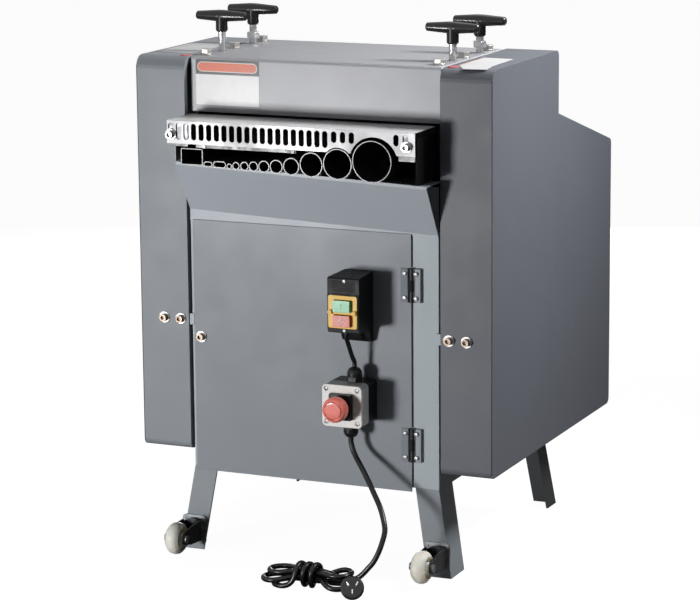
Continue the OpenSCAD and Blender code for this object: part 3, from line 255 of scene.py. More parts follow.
class Shade:  # the nodes of a new material, or of the world that is given, added one by one
    def __init__(self, name, owner=None):
        self.owner = owner or bpy.data.materials.new(name)
        self.owner.use_nodes = True
        self.tree = self.owner.node_tree
        self.surface = self.tree.nodes.get("Principled BSDF")

    def fill(self, socket, value):  # links a socket, or gives it a number or colour
        if isinstance(value, Link):
            self.tree.links.new(value.socket, socket)
        elif socket.type == "RGBA" and len(value) == 3:
            socket.default_value = (*value, 1.0)
        else:
            socket.default_value = value

    def add(self, kind, settings=None, values=None, output=0):  # any node, its settings first
        node = self.tree.nodes.new(kind)
        for key, value in (settings or {}).items():
            if key == "stops":
                stops = node.color_ramp.elements
                while len(stops) < len(value):
                    stops.new(0.5)
                for stop, (position, colour) in zip(stops, value):
                    stop.position, stop.color = position, (*colour, 1.0)
            else:
                setattr(node, key, value)
        for key, value in (values or {}).items():
            self.fill(node.inputs[key], value)
        return Link(self, node.outputs[output])

    def finish(self, values):  # the values of the Principled shader; gives the finished material
        for key, value in values.items():
            self.fill(self.surface.inputs[key], value)
        return self.owner

    def spot(self):  # where a point lies on the object
        return self.add("ShaderNodeTexCoord", output=3)

    def parts(self, where):  # the x, y and z of a place
        node = self.add("ShaderNodeSeparateXYZ", None, {0: where}).socket.node
        return [Link(self, node.outputs[k]) for k in range(3)]

    def upness(self):  # how far a surface faces up, from 0 on upright faces to 1 on level ones
        return self.parts(self.add("ShaderNodeNewGeometry", output=3))[2].ramp(0.6, 0.85)

    def stretch(self, where, scale):  # a scale of its own along x, y and z
        return self.add("ShaderNodeMapping", None, {"Vector": where, "Scale": scale})

    def noise(self, where, scale, detail=2.0, rough=0.5):  # cloudy values from 0 to 1
        return self.add("ShaderNodeTexNoise", None,
                        {"Vector": where, "Scale": scale, "Detail": detail, "Roughness": rough})

    def mix(self, amount, low, high):  # the low colour at 0, the high colour at 1
        return self.add("ShaderNodeMix", {"data_type": "RGBA"}, {0: amount, 6: low, 7: high}, 2)

    def vary(self, amount, colour, by):  # a colour that is darker and paler by a share
        return self.mix(amount.ramp(0.3, 0.7), tinted(colour, 1 - by), tinted(colour, 1 + by))

    def bump(self, height, strength, distance, normal=None):  # the normal of a surface with that height
        values = {"Height": height, "Strength": strength, "Distance": distance}
        if normal is not None:
            values["Normal"] = normal
        return self.add("ShaderNodeBump", None, values)

    def softEdge(self, radius):  # rounds sharp edges in the light, and says how near an edge a point is
        softened = self.add("ShaderNodeBevel", {"samples": 6}, {"Radius": radius})
        flat = self.add("ShaderNodeNewGeometry", output=1)
        return softened, 1 - self.dot(softened, flat)

    def dot(self, one, other):  # the product of two directions, 1 where they agree
        return self.add("ShaderNodeVectorMath", {"operation": "DOT_PRODUCT"}, {0: one, 1: other}, 1)


def tinted(colour, by):  # the colour times a number, and never over 1
    return tuple(min(1.0, c * by) for c in colour)


def sheetPaint(name, look):
    # Paint on sheet: its tone drifts slowly, orange peel ripples it, dust sits in it, and its edges are painted
    # paler, partly as rubbed wear and partly as a painted highlight along the bends
    shade = Shade(name)
    spot = shade.spot()
    across, deep, high = shade.parts(spot)
    edge, near = shade.softEdge(look["edge"])
    paint = shade.vary(shade.noise(spot, look["driftScale"], 3.0), look["colour"], look["drift"])
    if look.get("flat"):  # flat tops are painted darker than upright faces: painted shade for how the light falls on them
        paint = shade.mix(shade.upness(), paint, tinted(look["colour"], look["flat"]))
    specks = shade.noise(spot, look["speckScale"], 1.0).ramp(0.66, 0.78) * look["specks"]
    paint = shade.mix(specks, paint, tinted(look["colour"], look["speckTone"]))
    # Paler edges: rubbed wear, and a painted highlight along the bends and edges
    rubbed = shade.noise(spot, look["wearScale"], 4.0).ramp(0.35, 0.7) * near.ramp(0.01, 0.16) * look["wear"]
    paint = shade.mix(rubbed, paint, tinted(look["colour"], look["wearAndHighlightTone"]))
    if look.get("seam"):  # a dark line is painted down the front corner of a side cover: painted shade of the gap between its front and side sheets
        side, front, top = look["seam"]
        corner = across.size().ramp(side - 0.0003, side) * (1 - deep.ramp(front, front + 0.0006)) \
            * (1 - high.ramp(top, top + 0.006))
        paint = shade.mix(corner * 0.9, paint, look["seamShadeColour"])
    if look.get("knuckle"):  # the knuckles of the hinges are painted near black: painted shade of the gap they sit in
        knuckle = (across - look["knuckle"]).size().ramp(0.0062, 0.0066, 0.95, 0.0)
        paint = shade.mix(knuckle, paint, look["knuckleShadeColour"])
    peel = shade.noise(spot, look["peelScale"], 2.0)
    wave = shade.noise(spot, look["waveScale"], 2.0)
    cloud = shade.noise(spot, look["cloudScale"], 4.0)
    return shade.finish({
        "Base Color": paint, "Metallic": 0.0, "Coat Weight": look["coat"], "Coat Roughness": look["coatRough"],
        "Specular IOR Level": look["shine"],
        "Roughness": cloud.ramp(0.3, 0.7, look["rough"] - 0.02, look["rough"] + 0.03),
        "Normal": shade.bump(peel * look["peel"] + wave * look["wave"], 0.5, 0.0004, edge)})


# Drift, specks and wear are shares of the tone, scales are noise scales, and places are in metres
coverSeam = (0.2986, -0.2299, 0.782)
bodyLook = {"colour": (0.245, 0.268, 0.297), "rough": 0.46, "cloudScale": 24.0, "shine": 0.3, "coat": 0.03,
            "coatRough": 0.16, "drift": 0.025, "driftScale": 3.2, "peel": 0.35, "peelScale": 380.0,
            "wave": 0.8, "waveScale": 6.0, "specks": 0.35, "speckScale": 1400.0, "speckTone": 0.55,
            "edge": 0.0011, "wear": 0.55, "wearScale": 60.0, "wearAndHighlightTone": 1.9,
            "seamShadeColour": (0.008, 0.009, 0.012), "knuckleShadeColour": (0.006, 0.006, 0.007)}
doorPaint = sheetPaint("doorPaint", {**bodyLook, "colour": (0.236, 0.258, 0.288)})
# The frame is the same paint as the door, painted much paler as a painted highlight for the light it catches
frameLitPaint = sheetPaint("frameLitPaint", {**bodyLook, "colour": (0.41, 0.465, 0.50), "wear": 0.7})
# The rear legs are the same paint, painted near black as painted shade for the shadow they stand in under the
# machine
rearLegShadedPaint = sheetPaint("rearLegShadedPaint", {**bodyLook, "colour": (0.038, 0.04, 0.043), "wear": 0.5})
legPaint = sheetPaint("legPaint", {**bodyLook, "colour": (0.225, 0.248, 0.27), "wear": 0.8})
# The chute is the same paint, painted paler as painted light for the light the floor throws up on its downward
# slope
chuteLitPaint = sheetPaint("chuteLitPaint", {**bodyLook, "colour": (0.42, 0.455, 0.50), "wear": 0.9})
leftPaint = sheetPaint("leftCoverPaint", {**bodyLook, "colour": (0.24, 0.262, 0.29), "seam": coverSeam})
# The right cover is the same paint, painted darker as painted shade for the weaker light and reflection on it
rightShadedPaint = sheetPaint("rightCoverShadedPaint", {**bodyLook, "colour": (0.122, 0.131, 0.152), "coat": 0.04,
                                            "seam": coverSeam})
# The top cover is the same paint, painted paler as a painted highlight for the gloss on its apron; its flat top
# is darkened again as painted shade
topLitPaint = sheetPaint("topLitPaint", {**bodyLook, "colour": (0.47, 0.475, 0.505), "flat": 0.66, "rough": 0.44,
                                   "coat": 0.05, "coatRough": 0.2, "wave": 3.0})
leafPaint = sheetPaint("leafPaint", {**bodyLook, "colour": (0.3, 0.335, 0.36), "wear": 0.4, "knuckle": 0.168})
doorLeafPaint = sheetPaint("doorLeafPaint", {**bodyLook, "rough": 0.62, "shine": 0.1, "coat": 0.0, "wear": 0.1,
                                             "knuckle": 0.168})
innerPaint = sheetPaint("innerPaint", {**bodyLook, "colour": (0.2, 0.215, 0.235), "wear": 0.4})


def blackSteel(name, look):
    # Black paint on steel, with dust in its hollows; cut ends may be bare and bright
    shade = Shade(name)
    spot = shade.spot()
    across, deep, _ = shade.parts(spot)
    edge, near = shade.softEdge(look["edge"])
    grain = shade.noise(spot, look["grainScale"], 4.0)
    paint = shade.mix(grain.ramp(0.35, 0.7), look["colour"], tinted(look["colour"], 1.9))
    rubbed = near.ramp(0.02, 0.2) * look["wear"] * shade.noise(spot, 90.0, 3.0).ramp(0.4, 0.65)
    paint = shade.mix(rubbed, paint, look["wornColour"])
    if look.get("cheek"):  # the left cheek is painted grey like the covers, and much paler than them: painted light for the light that the guard's shade keeps off it
        paint = shade.mix(1 - across.ramp(look["cheek"], look["cheek"] + 0.0002), paint, look["cheekLitColour"])
    values = {"Coat Weight": look["coat"], "Coat Roughness": 0.15, "Specular IOR Level": look["shine"],
              "Normal": shade.bump(grain + shade.noise(spot, 900.0, 1.0) * 0.5, 0.35, 0.0003, edge)}
    # Deep inside, behind the mouths of the tubes, the paint is darkened: painted shade of the inside of the
    # feed box
    inside = deep.ramp(look["inside"], look["inside"] + 0.004)
    paint = shade.mix(inside * 0.7, paint, look["insideShadeColour"])
    rough = grain.ramp(0.3, 0.7, look["rough"] - 0.06, look["rough"] + 0.07) + inside * 0.4
    if look.get("cut") is not None:
        bare = 1 - deep.ramp(look["cut"], look["cut"] + 0.0004)
        nicks = shade.noise(spot, 500.0, 3.0).ramp(0.3, 0.7, 0.75, 1.0)
        paint = shade.mix(bare * nicks, paint, look["bareColour"])
        values["Metallic"] = bare * 0.3
        rough = shade.add("ShaderNodeMix", {"data_type": "FLOAT"}, {0: bare, 2: rough, 3: 0.3})
    return shade.finish({"Base Color": paint, "Roughness": rough, **values})


mouth = place(0, -66, 0)[1]  # the front ends of the feed tubes
blackLook = {"colour": (0.008, 0.008, 0.009), "rough": 0.45, "grainScale": 220.0, "coat": 0.05, "shine": 0.2,
             "edge": 0.0008, "wear": 0.6, "wornColour": (0.1, 0.103, 0.11),
             "inside": mouth + 0.003, "insideShadeColour": (0.002, 0.002, 0.002),
             "bareColour": (0.085, 0.086, 0.085), "cheekLitColour": (0.72, 0.77, 0.82)}
blackPaint = blackSteel("blackPaint", blackLook)
feedPaint = blackSteel("feedPaint", {**blackLook, "cheek": -0.2008, "shine": 0.04, "coat": 0.0})
tubePaint = blackSteel("tubePaint", {**blackLook, "rough": 0.36, "edge": 0.0005, "cut": mouth + 0.0004})


def plainMetal(name, look):
    # Plated, ground or polished metal: fine lines along one way, a cloudy sheen and small nicks
    shade = Shade(name)
    spot = shade.spot()
    edge, near = shade.softEdge(look["edge"])
    lines = shade.noise(shade.stretch(spot, look["lines"]), 1.0, 4.0, 0.6)
    _, deep, high = shade.parts(spot)
    cloud = shade.noise(spot, look["cloudScale"], 4.0)
    tone = shade.vary(cloud, look["colour"], look["cloud"])
    tone = shade.mix(near.ramp(0.03, 0.3) * 0.5, tone, tinted(look["colour"], 1.2))
    if look.get("walls"):  # the walls of the slots and the back of the sheet don't catch the light
        facing = shade.parts(shade.add("ShaderNodeNewGeometry", output=3))[1]
        under = 1 - high.ramp(look["walls"] - 0.0002, look["walls"])
        tone = shade.mix(facing.ramp(-0.75, -0.6) * under, tone, look["wallColour"])
    if look.get("behind"):  # the brackets lie in the shade of the guard
        tone = shade.mix(deep.ramp(look["behind"] - 0.0004, look["behind"]), tone, look["behindColour"])
    if look.get("bar"):  # the bar under the guard lies in its shade
        tone = shade.mix(high.within(*look["bar"]) * 0.8, tone, look["barColour"])
    if look.get("heads"):  # bolt heads are passivated in a warmer tone than their washers
        head = 1 - deep.ramp(look["heads"] - 0.0002, look["heads"] + 0.0002)
        tone = shade.mix(head * 0.85, tone, look["headColour"])
    metallic = 1.0
    if look.get("litTopTone"):  # the flange on top is given a dull, pale finish: a painted highlight for the light that falls on it
        up = shade.upness()
        tone = shade.mix(up, tone, (look["litTopTone"],) * 3)
        metallic = 1 - up * 0.9
    return shade.finish({"Base Color": tone, "Metallic": metallic,
                         "Roughness": cloud.ramp(0.25, 0.75, look["rough"] - 0.07, look["rough"] + 0.1),
                         "Normal": shade.bump(lines + cloud * 0.6, look["grain"], 0.0002, edge)})


# The lines are the scale of the grain along x, y and z, and the heights and depths are metres
metalLook = {"colour": (0.34, 0.34, 0.35), "rough": 0.38, "lines": (300.0, 300.0, 300.0), "cloud": 0.1,
             "cloudScale": 90.0, "grain": 0.25, "edge": 0.0006}
guardSteel = plainMetal("guardSteel", {**metalLook, "colour": (0.175, 0.174, 0.178), "rough": 0.44,
                                       "walls": 0.7032, "wallColour": (0.012, 0.012, 0.014), "litTopTone": 0.6,
                                       "lines": (12.0, 400.0, 1800.0), "grain": 0.12, "cloud": 0.03,
                                       "cloudScale": 14.0})
zincSteel = plainMetal("zincSteel", {**metalLook, "behind": place(0, -63, 0)[1],
                                     "behindColour": (0.1, 0.1, 0.104), "bar": (0.6615, 0.6745),
                                     "barColour": (0.05, 0.052, 0.05)})
screwSteel = plainMetal("screwSteel", metalLook)
boltSteel = plainMetal("boltSteel", {**metalLook, "colour": (0.4, 0.388, 0.37), "rough": 0.42,
                                     "heads": place(0, -1.9, 0)[1], "headColour": (0.19, 0.137, 0.1)})
shaftSteel = plainMetal("shaftSteel", {**metalLook, "colour": (0.5, 0.5, 0.51), "rough": 0.26,
                                       "lines": (60.0, 60.0, 1500.0), "grain": 0.15})
rollerSteel = plainMetal("rollerSteel", {**metalLook, "colour": (0.5, 0.5, 0.51), "rough": 0.26,
                                         "lines": (1500.0, 60.0, 60.0), "grain": 0.2})


# The fork begins at this depth, and the axle's ends at this distance from the caster's middle
casterLook = {"forkFront": place(0, -11.0, 0)[1], "casterAt": 0.211, "axleEnds": (0.0164, 0.0167),
              "zinc": ((0.13, 0.138, 0.145), (0.2, 0.208, 0.215)), "rubbed": (0.3, 0.3, 0.31),
              "black": ((0.012, 0.012, 0.014), (0.035, 0.036, 0.04))}


def casterSteel(look):
    # The plate and race are zinc plated, the fork is blackened and the axle is bright
    shade = Shade("casterSteel")
    spot = shade.spot()
    across, deep, _ = shade.parts(spot)
    edge, near = shade.softEdge(0.0007)
    fork = 1 - deep.ramp(look["forkFront"] - 0.0002, look["forkFront"] + 0.0002)
    axle = (across.size() - look["casterAt"]).size().ramp(*look["axleEnds"])
    dark = fork * (1 - axle)
    cloud = shade.noise(spot, 110.0, 4.0)
    bright = shade.mix(cloud.ramp(0.3, 0.7), *look["zinc"])
    black = shade.mix(cloud.ramp(0.3, 0.7), *look["black"])
    black = shade.mix(near.ramp(0.02, 0.25) * 0.6, black, look["rubbed"])
    return shade.finish({"Base Color": shade.mix(dark, bright, black), "Metallic": 0.35 + dark * 0.05,
                         "Roughness": cloud.ramp(0.25, 0.75, 0.26, 0.44),
                         "Normal": shade.bump(cloud + shade.noise(spot, 700.0, 2.0) * 0.4, 0.3, 0.0002, edge)})


def mouldedPlastic(name, look):
    # Moulded plastic: a fine etched grain, softened edges and slight shading of its tone
    shade = Shade(name)
    spot = shade.spot()
    edge, near = shade.softEdge(look["edge"])
    cloud = shade.noise(spot, look["cloudScale"], 3.0)
    tone = shade.vary(cloud, look["colour"], look["cloud"])
    tone = shade.mix(near.ramp(0.02, 0.3) * look["worn"], tone, look["wornColour"])
    if look.get("arcs"):  # the moulded arcs of the stop's head are painted darker: a ring with three gaps, on its face
        across, deep, high = shade.parts(spot)
        x, z = across - stopAt[0] * mm, high - stopAt[2] * mm
        ring = ((x * x + z * z) ** 0.5 - look["arcs"]).size()
        face = 1 - deep.ramp(place(0, -93.6, 0)[1], place(0, -93.2, 0)[1])
        gaps = ((z.maths("ARCTAN2", x) * 3).maths("COSINE") * -1).ramp(0.55, 0.7)
        tone = shade.mix((1 - ring.ramp(0.0004, 0.0011)) * face * (1 - gaps), tone, look["arcTone"])
    etched = shade.noise(spot, look["grainScale"], 2.0)
    return shade.finish({
        "Base Color": tone, "Specular IOR Level": look["shine"], "Coat Weight": look["coat"],
        "Coat Roughness": 0.1, "Subsurface Weight": look["glow"], "Subsurface Radius": (1.0, 0.8, 0.6),
        "Subsurface Scale": look["depth"],
        "Roughness": cloud.ramp(0.25, 0.75, look["rough"] - 0.05, look["rough"] + 0.06),
        "Normal": shade.bump(etched, look["grain"], 0.00025, edge)})


stopAt = (76, -60, 274)  # the middle of the emergency stop's front, in millimetres
plasticLook = {"colour": (0.009, 0.009, 0.010), "rough": 0.40, "cloud": 0.12, "cloudScale": 70.0, "shine": 0.25,
               "worn": 0.35, "wornColour": (0.05, 0.05, 0.053), "grain": 0.35, "grainScale": 1500.0,
               "edge": 0.0009, "glow": 0.0, "depth": 0.002, "coat": 0.0}
boxPlastic = mouldedPlastic("boxPlastic", {**plasticLook, "shine": 0.12, "colour": (0.012, 0.0125, 0.0135)})
basePlastic = mouldedPlastic("basePlastic", {**plasticLook, "rough": 0.36})
gripPlastic = mouldedPlastic("gripPlastic", {**plasticLook, "rough": 0.3, "grain": 0.12, "coat": 0.3,
                                             "edge": 0.0014})
lightPlastic = mouldedPlastic("lightPlastic", {**plasticLook, "colour": (0.86, 0.835, 0.81), "cloud": 0.03,
                                               "wornColour": (0.9, 0.89, 0.87), "glow": 0.04})
yellowPlastic = mouldedPlastic("yellowPlastic", {**plasticLook, "colour": (0.8, 0.48, 0.045), "cloud": 0.05,
                                                 "wornColour": (0.9, 0.6, 0.18), "rough": 0.3, "glow": 0.05})
greenPlastic = mouldedPlastic("greenPlastic", {**plasticLook, "colour": (0.18, 0.56, 0.31), "cloud": 0.06,
                                               "wornColour": (0.5, 0.78, 0.6), "rough": 0.2, "coat": 0.6,
                                               "glow": 0.05})
redPlastic = mouldedPlastic("redPlastic", {**plasticLook, "colour": (0.68, 0.16, 0.12), "cloud": 0.06,
                                           "wornColour": (0.85, 0.4, 0.34), "rough": 0.24, "coat": 0.5,
                                           "glow": 0.05})
nylon = mouldedPlastic("nylon", {**plasticLook, "colour": (0.93, 0.89, 0.77), "cloud": 0.04, "cloudScale": 40.0,
                                 "wornColour": (0.7, 0.66, 0.56), "worn": 0.15, "rough": 0.34, "glow": 0.5,
                                 "depth": 0.02, "edge": 0.0015})
headPlastic = mouldedPlastic("headPlastic", {**plasticLook, "colour": (0.88, 0.21, 0.165), "cloud": 0.05,
                                             "wornColour": (0.8, 0.36, 0.3), "rough": 0.3, "coat": 0.3,
                                             "glow": 0.04, "edge": 0.0016, "arcs": 0.0139,
                                             "arcTone": (0.2, 0.03, 0.025)})


def castingPaint(name, colour):  # thick paint on a rough casting
    shade = Shade(name)
    spot = shade.spot()
    edge, near = shade.softEdge(0.0016)
    rough = shade.noise(spot, 260.0, 5.0)
    stops = [(0.3, tinted(colour, 0.85)), (0.55, colour), (0.7, tinted(colour, 1.12))]
    tone = shade.add("ShaderNodeValToRGB", {"stops": stops}, {0: rough})
    tone = shade.mix(near.ramp(0.03, 0.25) * 0.5, tone, tinted(colour, 1.8))
    return shade.finish({"Base Color": tone, "Roughness": rough.ramp(0.3, 0.7, 0.42, 0.58),
                         "Normal": shade.bump(rough, 0.5, 0.0006, edge)})


def rubber(name, look):  # rubber with faint rubbed streaks and a dusting
    shade = Shade(name)
    spot = shade.spot()
    dust = shade.noise(spot, 55.0, 5.0)
    fine = shade.noise(spot, 1300.0, 2.0)
    tone = shade.mix(dust.ramp(0.45, 0.75), look["colour"], tinted(look["colour"], 2.2))
    return shade.finish({
        "Base Color": tone, "Coat Weight": look["coat"], "Coat Roughness": 0.2,
        "Specular IOR Level": look["shine"],
        "Roughness": dust.ramp(0.25, 0.75, look["rough"] - 0.05, look["rough"] + 0.1),
        "Normal": shade.bump(fine + dust * 0.5, look["grain"], 0.0002)})


cordRubber = rubber("cordRubber", {"colour": (0.0035, 0.0035, 0.004), "rough": 0.27, "coat": 0.05,
                                   "shine": 0.35, "grain": 0.12})
beltRubber = rubber("beltRubber", {"colour": (0.016, 0.016, 0.017), "rough": 0.6, "coat": 0.0, "shine": 0.3,
                                   "grain": 0.5})
gearboxPaint = castingPaint("gearboxPaint", (0.2, 0.22, 0.24))
motorPaint = castingPaint("motorPaint", (0.1, 0.14, 0.19))
pulleyPaint = castingPaint("pulleyPaint", (0.05, 0.052, 0.056))


plugLook = {"face": place(140, -170, 23.3), "facing": (0.362, -0.814, 0.454), "black": (0.013, 0.013, 0.014),
            "rubbed": (0.06, 0.06, 0.065), "pin": (0.83, 0.82, 0.8)}


def plugPlastic(look):
    # The plug is black; everything in front of its face is a nickel-plated pin
    shade = Shade("plugPlastic")
    spot = shade.spot()
    edge, near = shade.softEdge(0.0008)
    off = shade.add("ShaderNodeVectorMath", {"operation": "SUBTRACT"}, {0: spot, 1: look["face"]})
    pin = shade.dot(off, look["facing"]).ramp(0.0001, 0.0004)
    grain = shade.noise(spot, 900.0, 2.0)
    black = shade.mix(near.ramp(0.03, 0.3) * 0.4, look["black"], look["rubbed"])
    return shade.finish({"Base Color": shade.mix(pin, black, look["pin"]), "Metallic": pin * 0.85,
                         "Roughness": grain.ramp(0.3, 0.7, 0.24, 0.38),
                         "Normal": shade.bump(grain, 0.2, 0.0002, edge)})


finishes = {
    doorPaint: "door_panel", doorLeafPaint: "door_leaves", frameLitPaint: "front_frame", leafPaint: "hinge_leaves",
    legPaint: "legs_front", rearLegShadedPaint: "legs_rear", chuteLitPaint: "chute_panel", leftPaint: "cover_left",
    rightShadedPaint: "cover_right", topLitPaint: "top_cover", innerPaint: "cabinet outlet_chute",
    feedPaint: "feed_box", blackPaint: "side_plates cap_bars", tubePaint: "flat_tubes round_tubes",
    guardSteel: "guard", zincSteel: "guard_fixings", boltSteel: "bolts latch_bolt",
    casterSteel(casterLook): "caster_brackets",
    shaftSteel: "spindle_front_left spindle_front_right spindle_rear_left spindle_rear_right front_blocks "
                "rear_blocks",
    rollerSteel: "front_roller rear_roller upper_roller blade_shaft blades front_gear rear_gear idler_gear "
                 "bearings",
    nylon: "wheel_left wheel_right", boxPlastic: "switch_box", basePlastic: "stop_base stop_stem",
    gripPlastic: "grip_front_left grip_front_right grip_rear_left grip_rear_right",
    lightPlastic: "stop_cover", yellowPlastic: "switch_plate", greenPlastic: "green_button",
    redPlastic: "red_button", headPlastic: "stop_head", cordRubber: "link_cable mains_cord cord_hank",
    plugPlastic(plugLook): "plug", beltRubber: "drive_belt",
    gearboxPaint: "gearbox", motorPaint: "motor", pulleyPaint: "shaft_pulley motor_pulley"}
for finish, names in finishes.items():
    for name in names.split():
        nodes[name].data.materials.clear()
        nodes[name].data.materials.append(finish)
powerCord.data.materials.append(cordRubber)
print("materials ready", sum(len(names.split()) for names in finishes.values()), "nodes")


def addPiece(name, points, faces, finish, body, smooth=True):
    # A mesh with its doubles merged and its faces outwards, with its finish, and riding on its body
    piece = addMesh(name, points, faces, smooth)
    shell = bmesh.new()
    shell.from_mesh(piece.data)
    bmesh.ops.remove_doubles(shell, verts=shell.verts, dist=1e-7)
    bmesh.ops.recalc_face_normals(shell, faces=shell.faces)
    shell.to_mesh(piece.data)
    shell.free()
    piece.data.materials.append(finish)
    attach(piece, body)
    return piece


# The cable from the switch box to the stop box
linkLook = {"thickness": 7.0, "sides": 20, "step": 1.5}
linkRoute = np.array([(78, -44, 390), (78, -44, 385), (78, -43, 376), (80, -38, 362), (82, -33, 348),
                      (84, -28.4, 338), (84, -28, 333), (84, -28, 329.1)], float)
linkPath = np.array([place(*p) for p in smoothLine(linkRoute, linkLook["step"])])
linkCable = tube("linkCable", linkPath, linkLook["thickness"] / 2 * mm, linkLook["sides"])
linkCable.data.materials.append(cordRubber)
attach(linkCable, "door")
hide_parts("link_cable")
print("link cable ready")


def rounded(corners, radius, steps=6):
    # Each corner becomes a parabola between the points where an arc of that radius would touch its sides
    corners = np.array(corners, float)
    made = []
    for before, at, after in zip(np.roll(corners, 1, 0), corners, np.roll(corners, -1, 0)):
        u, v = (before - at) / np.linalg.norm(before - at), (after - at) / np.linalg.norm(after - at)
        half = math.acos(max(-1.0, min(1.0, float(u @ v)))) / 2
        reach = radius / math.tan(half)
        t = np.linspace(0, 1, steps)[:, None]
        a, b = at + u * reach, at + v * reach
        made.append((1 - t) ** 2 * a + 2 * t * (1 - t) * at + t ** 2 * b)
    return np.vstack(made)


def thinPlate(outline, height, edge):
    # Rings of the outline shrunk towards its middle and lifted to the plate's height, with a small slanted
    # edge. The last axis of the grid is u, v and lift
    middle = outline.mean(0)
    rings = [(0.0, height), (0.5, height), (1.0, height), (1.0, height - edge), (1.0, 0.0), (0.5, 0.0),
             (0.0, 0.0)]
    width = np.linalg.norm(outline - middle, axis=1).mean()
    shrink = np.array([r for r, _ in rings]) - np.array([0, 0, edge / width, 0, 0, 0, 0])
    flat = middle + shrink[:, None, None] * (outline - middle)
    rise = np.broadcast_to(np.array([h for _, h in rings])[:, None, None], flat.shape[:2] + (1,))
    return np.concatenate([flat, rise], 2)


def facingFront(grid, front, x=0.0, z=0.0):
    # The grid stood upright: u goes right from x, v goes up from z, and the lift comes forward from the front
    return np.stack([(x + grid[..., 0]) * mm, (front - grid[..., 2] - depthMiddle) * mm,
                     (z + grid[..., 1]) * mm], -1)


def facingUp(grid, top):
    # The grid laid level: u goes right, v goes to the back, and the lift goes up from the top
    return np.stack([grid[..., 0] * mm, (grid[..., 1] - depthMiddle) * mm, (top + grid[..., 2]) * mm], -1)


# Boxes are left, right, bottom and top, in millimetres; the stripe begins this far from the middle, in metres
plateLook = {"white": (0.88, 0.88, 0.885), "worn": (0.58, 0.585, 0.59), "band": (0.72, 0.21, 0.14),
             "field": (0.13, 0.132, 0.14), "thickness": 0.35, "edge": 0.1, "apronFront": 15.95,
             "coverTop": 793.95, "apron": (-203.0, -93.5, 719.0, 790.0), "header": 767.0,
             "bandBox": (-200.0, -96.5, 771.0, 786.5), "stripe": 0.2285}


def barePlate(name, banded):
    # A plain white plate. The one on the apron has an empty header band with round ends: a point is in it where
    # its distance to the band's middle line is under half the band's height
    shade = Shade(name)
    spot = shade.spot()
    across, _, high = shade.parts(spot)
    cloud = shade.noise(spot, 40.0, 4.0)
    # The plates on the cover tops get a plain darker grey-white than the apron's plate
    white = plateLook["white" if banded else "worn"]
    tone = shade.mix(cloud.ramp(0.3, 0.7), tinted(white, 0.96), tinted(white, 1.03))
    if banded:
        start, end, low, top = (v * mm for v in plateLook["bandBox"])
        header = plateLook["header"] * mm
        half = (top - low) / 2
        tone = shade.mix(high.ramp(header - 0.0002, header + 0.0002), tone, plateLook["field"])
        dx = ((across - (start + end) / 2).size() - ((end - start) / 2 - half)).maths("MAXIMUM", 0.0)
        dz = high - (low + top) / 2
        away = (dx * dx + dz * dz) ** 0.5
        tone = shade.mix(1 - away.ramp(half - 0.0002, half + 0.0002), tone, plateLook["white"])
        band = shade.mix(cloud.ramp(0.3, 0.7), plateLook["band"], tinted(plateLook["band"], 1.15))
        tone = shade.mix(1 - away.ramp(half - 0.0012, half - 0.0008), tone, band)
    else:  # a stripe along the edge towards the middle of the machine
        stripe = 1 - (across.size() - plateLook["stripe"]).ramp(-0.0002, 0.0002)
        tone = shade.mix(stripe, tone, plateLook["band"])
    return shade.finish({"Base Color": tone, "Roughness": cloud.ramp(0.3, 0.7, 0.45, 0.55),
                         "Specular IOR Level": 0.3, "Coat Weight": 0.05, "Coat Roughness": 0.1,
                         "Normal": shade.bump(cloud, 0.15, 0.0003)})


x0, x1, z0, z1 = plateLook["apron"]
outline = rounded([(x0, z0), (x1, z0), (x1, z1), (x0, z1)], 1.5)
grid = facingFront(thinPlate(outline, plateLook["thickness"], plateLook["edge"]), plateLook["apronFront"])
addPiece("apronPlate", grid.reshape(-1, 3), gridFaces(*grid.shape[:2], True), barePlate("apronPlate", True),
         "base", False)
coverPlate = barePlate("coverPlate", False)
spotPaint = mouldedPlastic("spotPaint", {**plasticLook, "colour": (0.62, 0.1, 0.13), "cloud": 0.08,
                                         "rough": 0.3, "grain": 0.05, "wornColour": (0.7, 0.2, 0.2)})
rightPlate = [(250, 5), (287, 10), (279, 53), (277, 148), (227, 152), (227, 46), (238, 30)]
leftPlate = [(-229, 53), (-229, 185), (-292, 188), (-294, 60), (-262, 54)]
for side, outline in (("Right", rightPlate), ("Left", leftPlate)):
    plate = thinPlate(rounded(outline, 3.0), plateLook["thickness"], plateLook["edge"])
    grid = facingUp(plate, plateLook["coverTop"])
    addPiece("coverPlate" + side, grid.reshape(-1, 3), gridFaces(*grid.shape[:2], True), coverPlate,
             "base", False)
# A small oval spot beside each plate
turn = np.linspace(0, 2 * math.pi, 40, endpoint=False)
for side, x, y in (("Right", 226, 27), ("Left", -226, 27)):
    oval = np.stack([x + 8.5 * np.cos(turn), y + 11 * np.sin(turn)], 1)
    grid = facingUp(thinPlate(oval, plateLook["thickness"], plateLook["edge"]), plateLook["coverTop"])
    addPiece("coverSpot" + side, grid.reshape(-1, 3), gridFaces(*grid.shape[:2], True), spotPaint,
             "base")
print("plates ready")

# Cross-recessed screw heads over the plain ones: x, y of the front of the part it holds, z, radius and height.
# Widths and lengths of the cross are shares of the radius, and the turn is in radians
screwLook = {"rings": 14, "around": 64, "recess": 0.495, "slot": 0.175, "reach": 0.72, "crown": 0.55,
             "rim": 0.86, "turn": 0.5}
hingeScrews = [z + h for z in (180, 432) for h in (7, 45)]
frameScrews = [(176, -2, z, 3.6, 1.75) for z in hingeScrews]
doorScrews = [(157, -1, z, 3.6, 1.75) for z in hingeScrews]
doorScrews += [(stopAt[0] + 26 * i, -57, stopAt[2] + 26 * k, 3.2, 2.15) for i in (-1, 1) for k in (-1, 1)]
doorScrews += [(82, -60, 393, 3.2, 1.35), (82, -60, 470, 3.2, 1.35)]


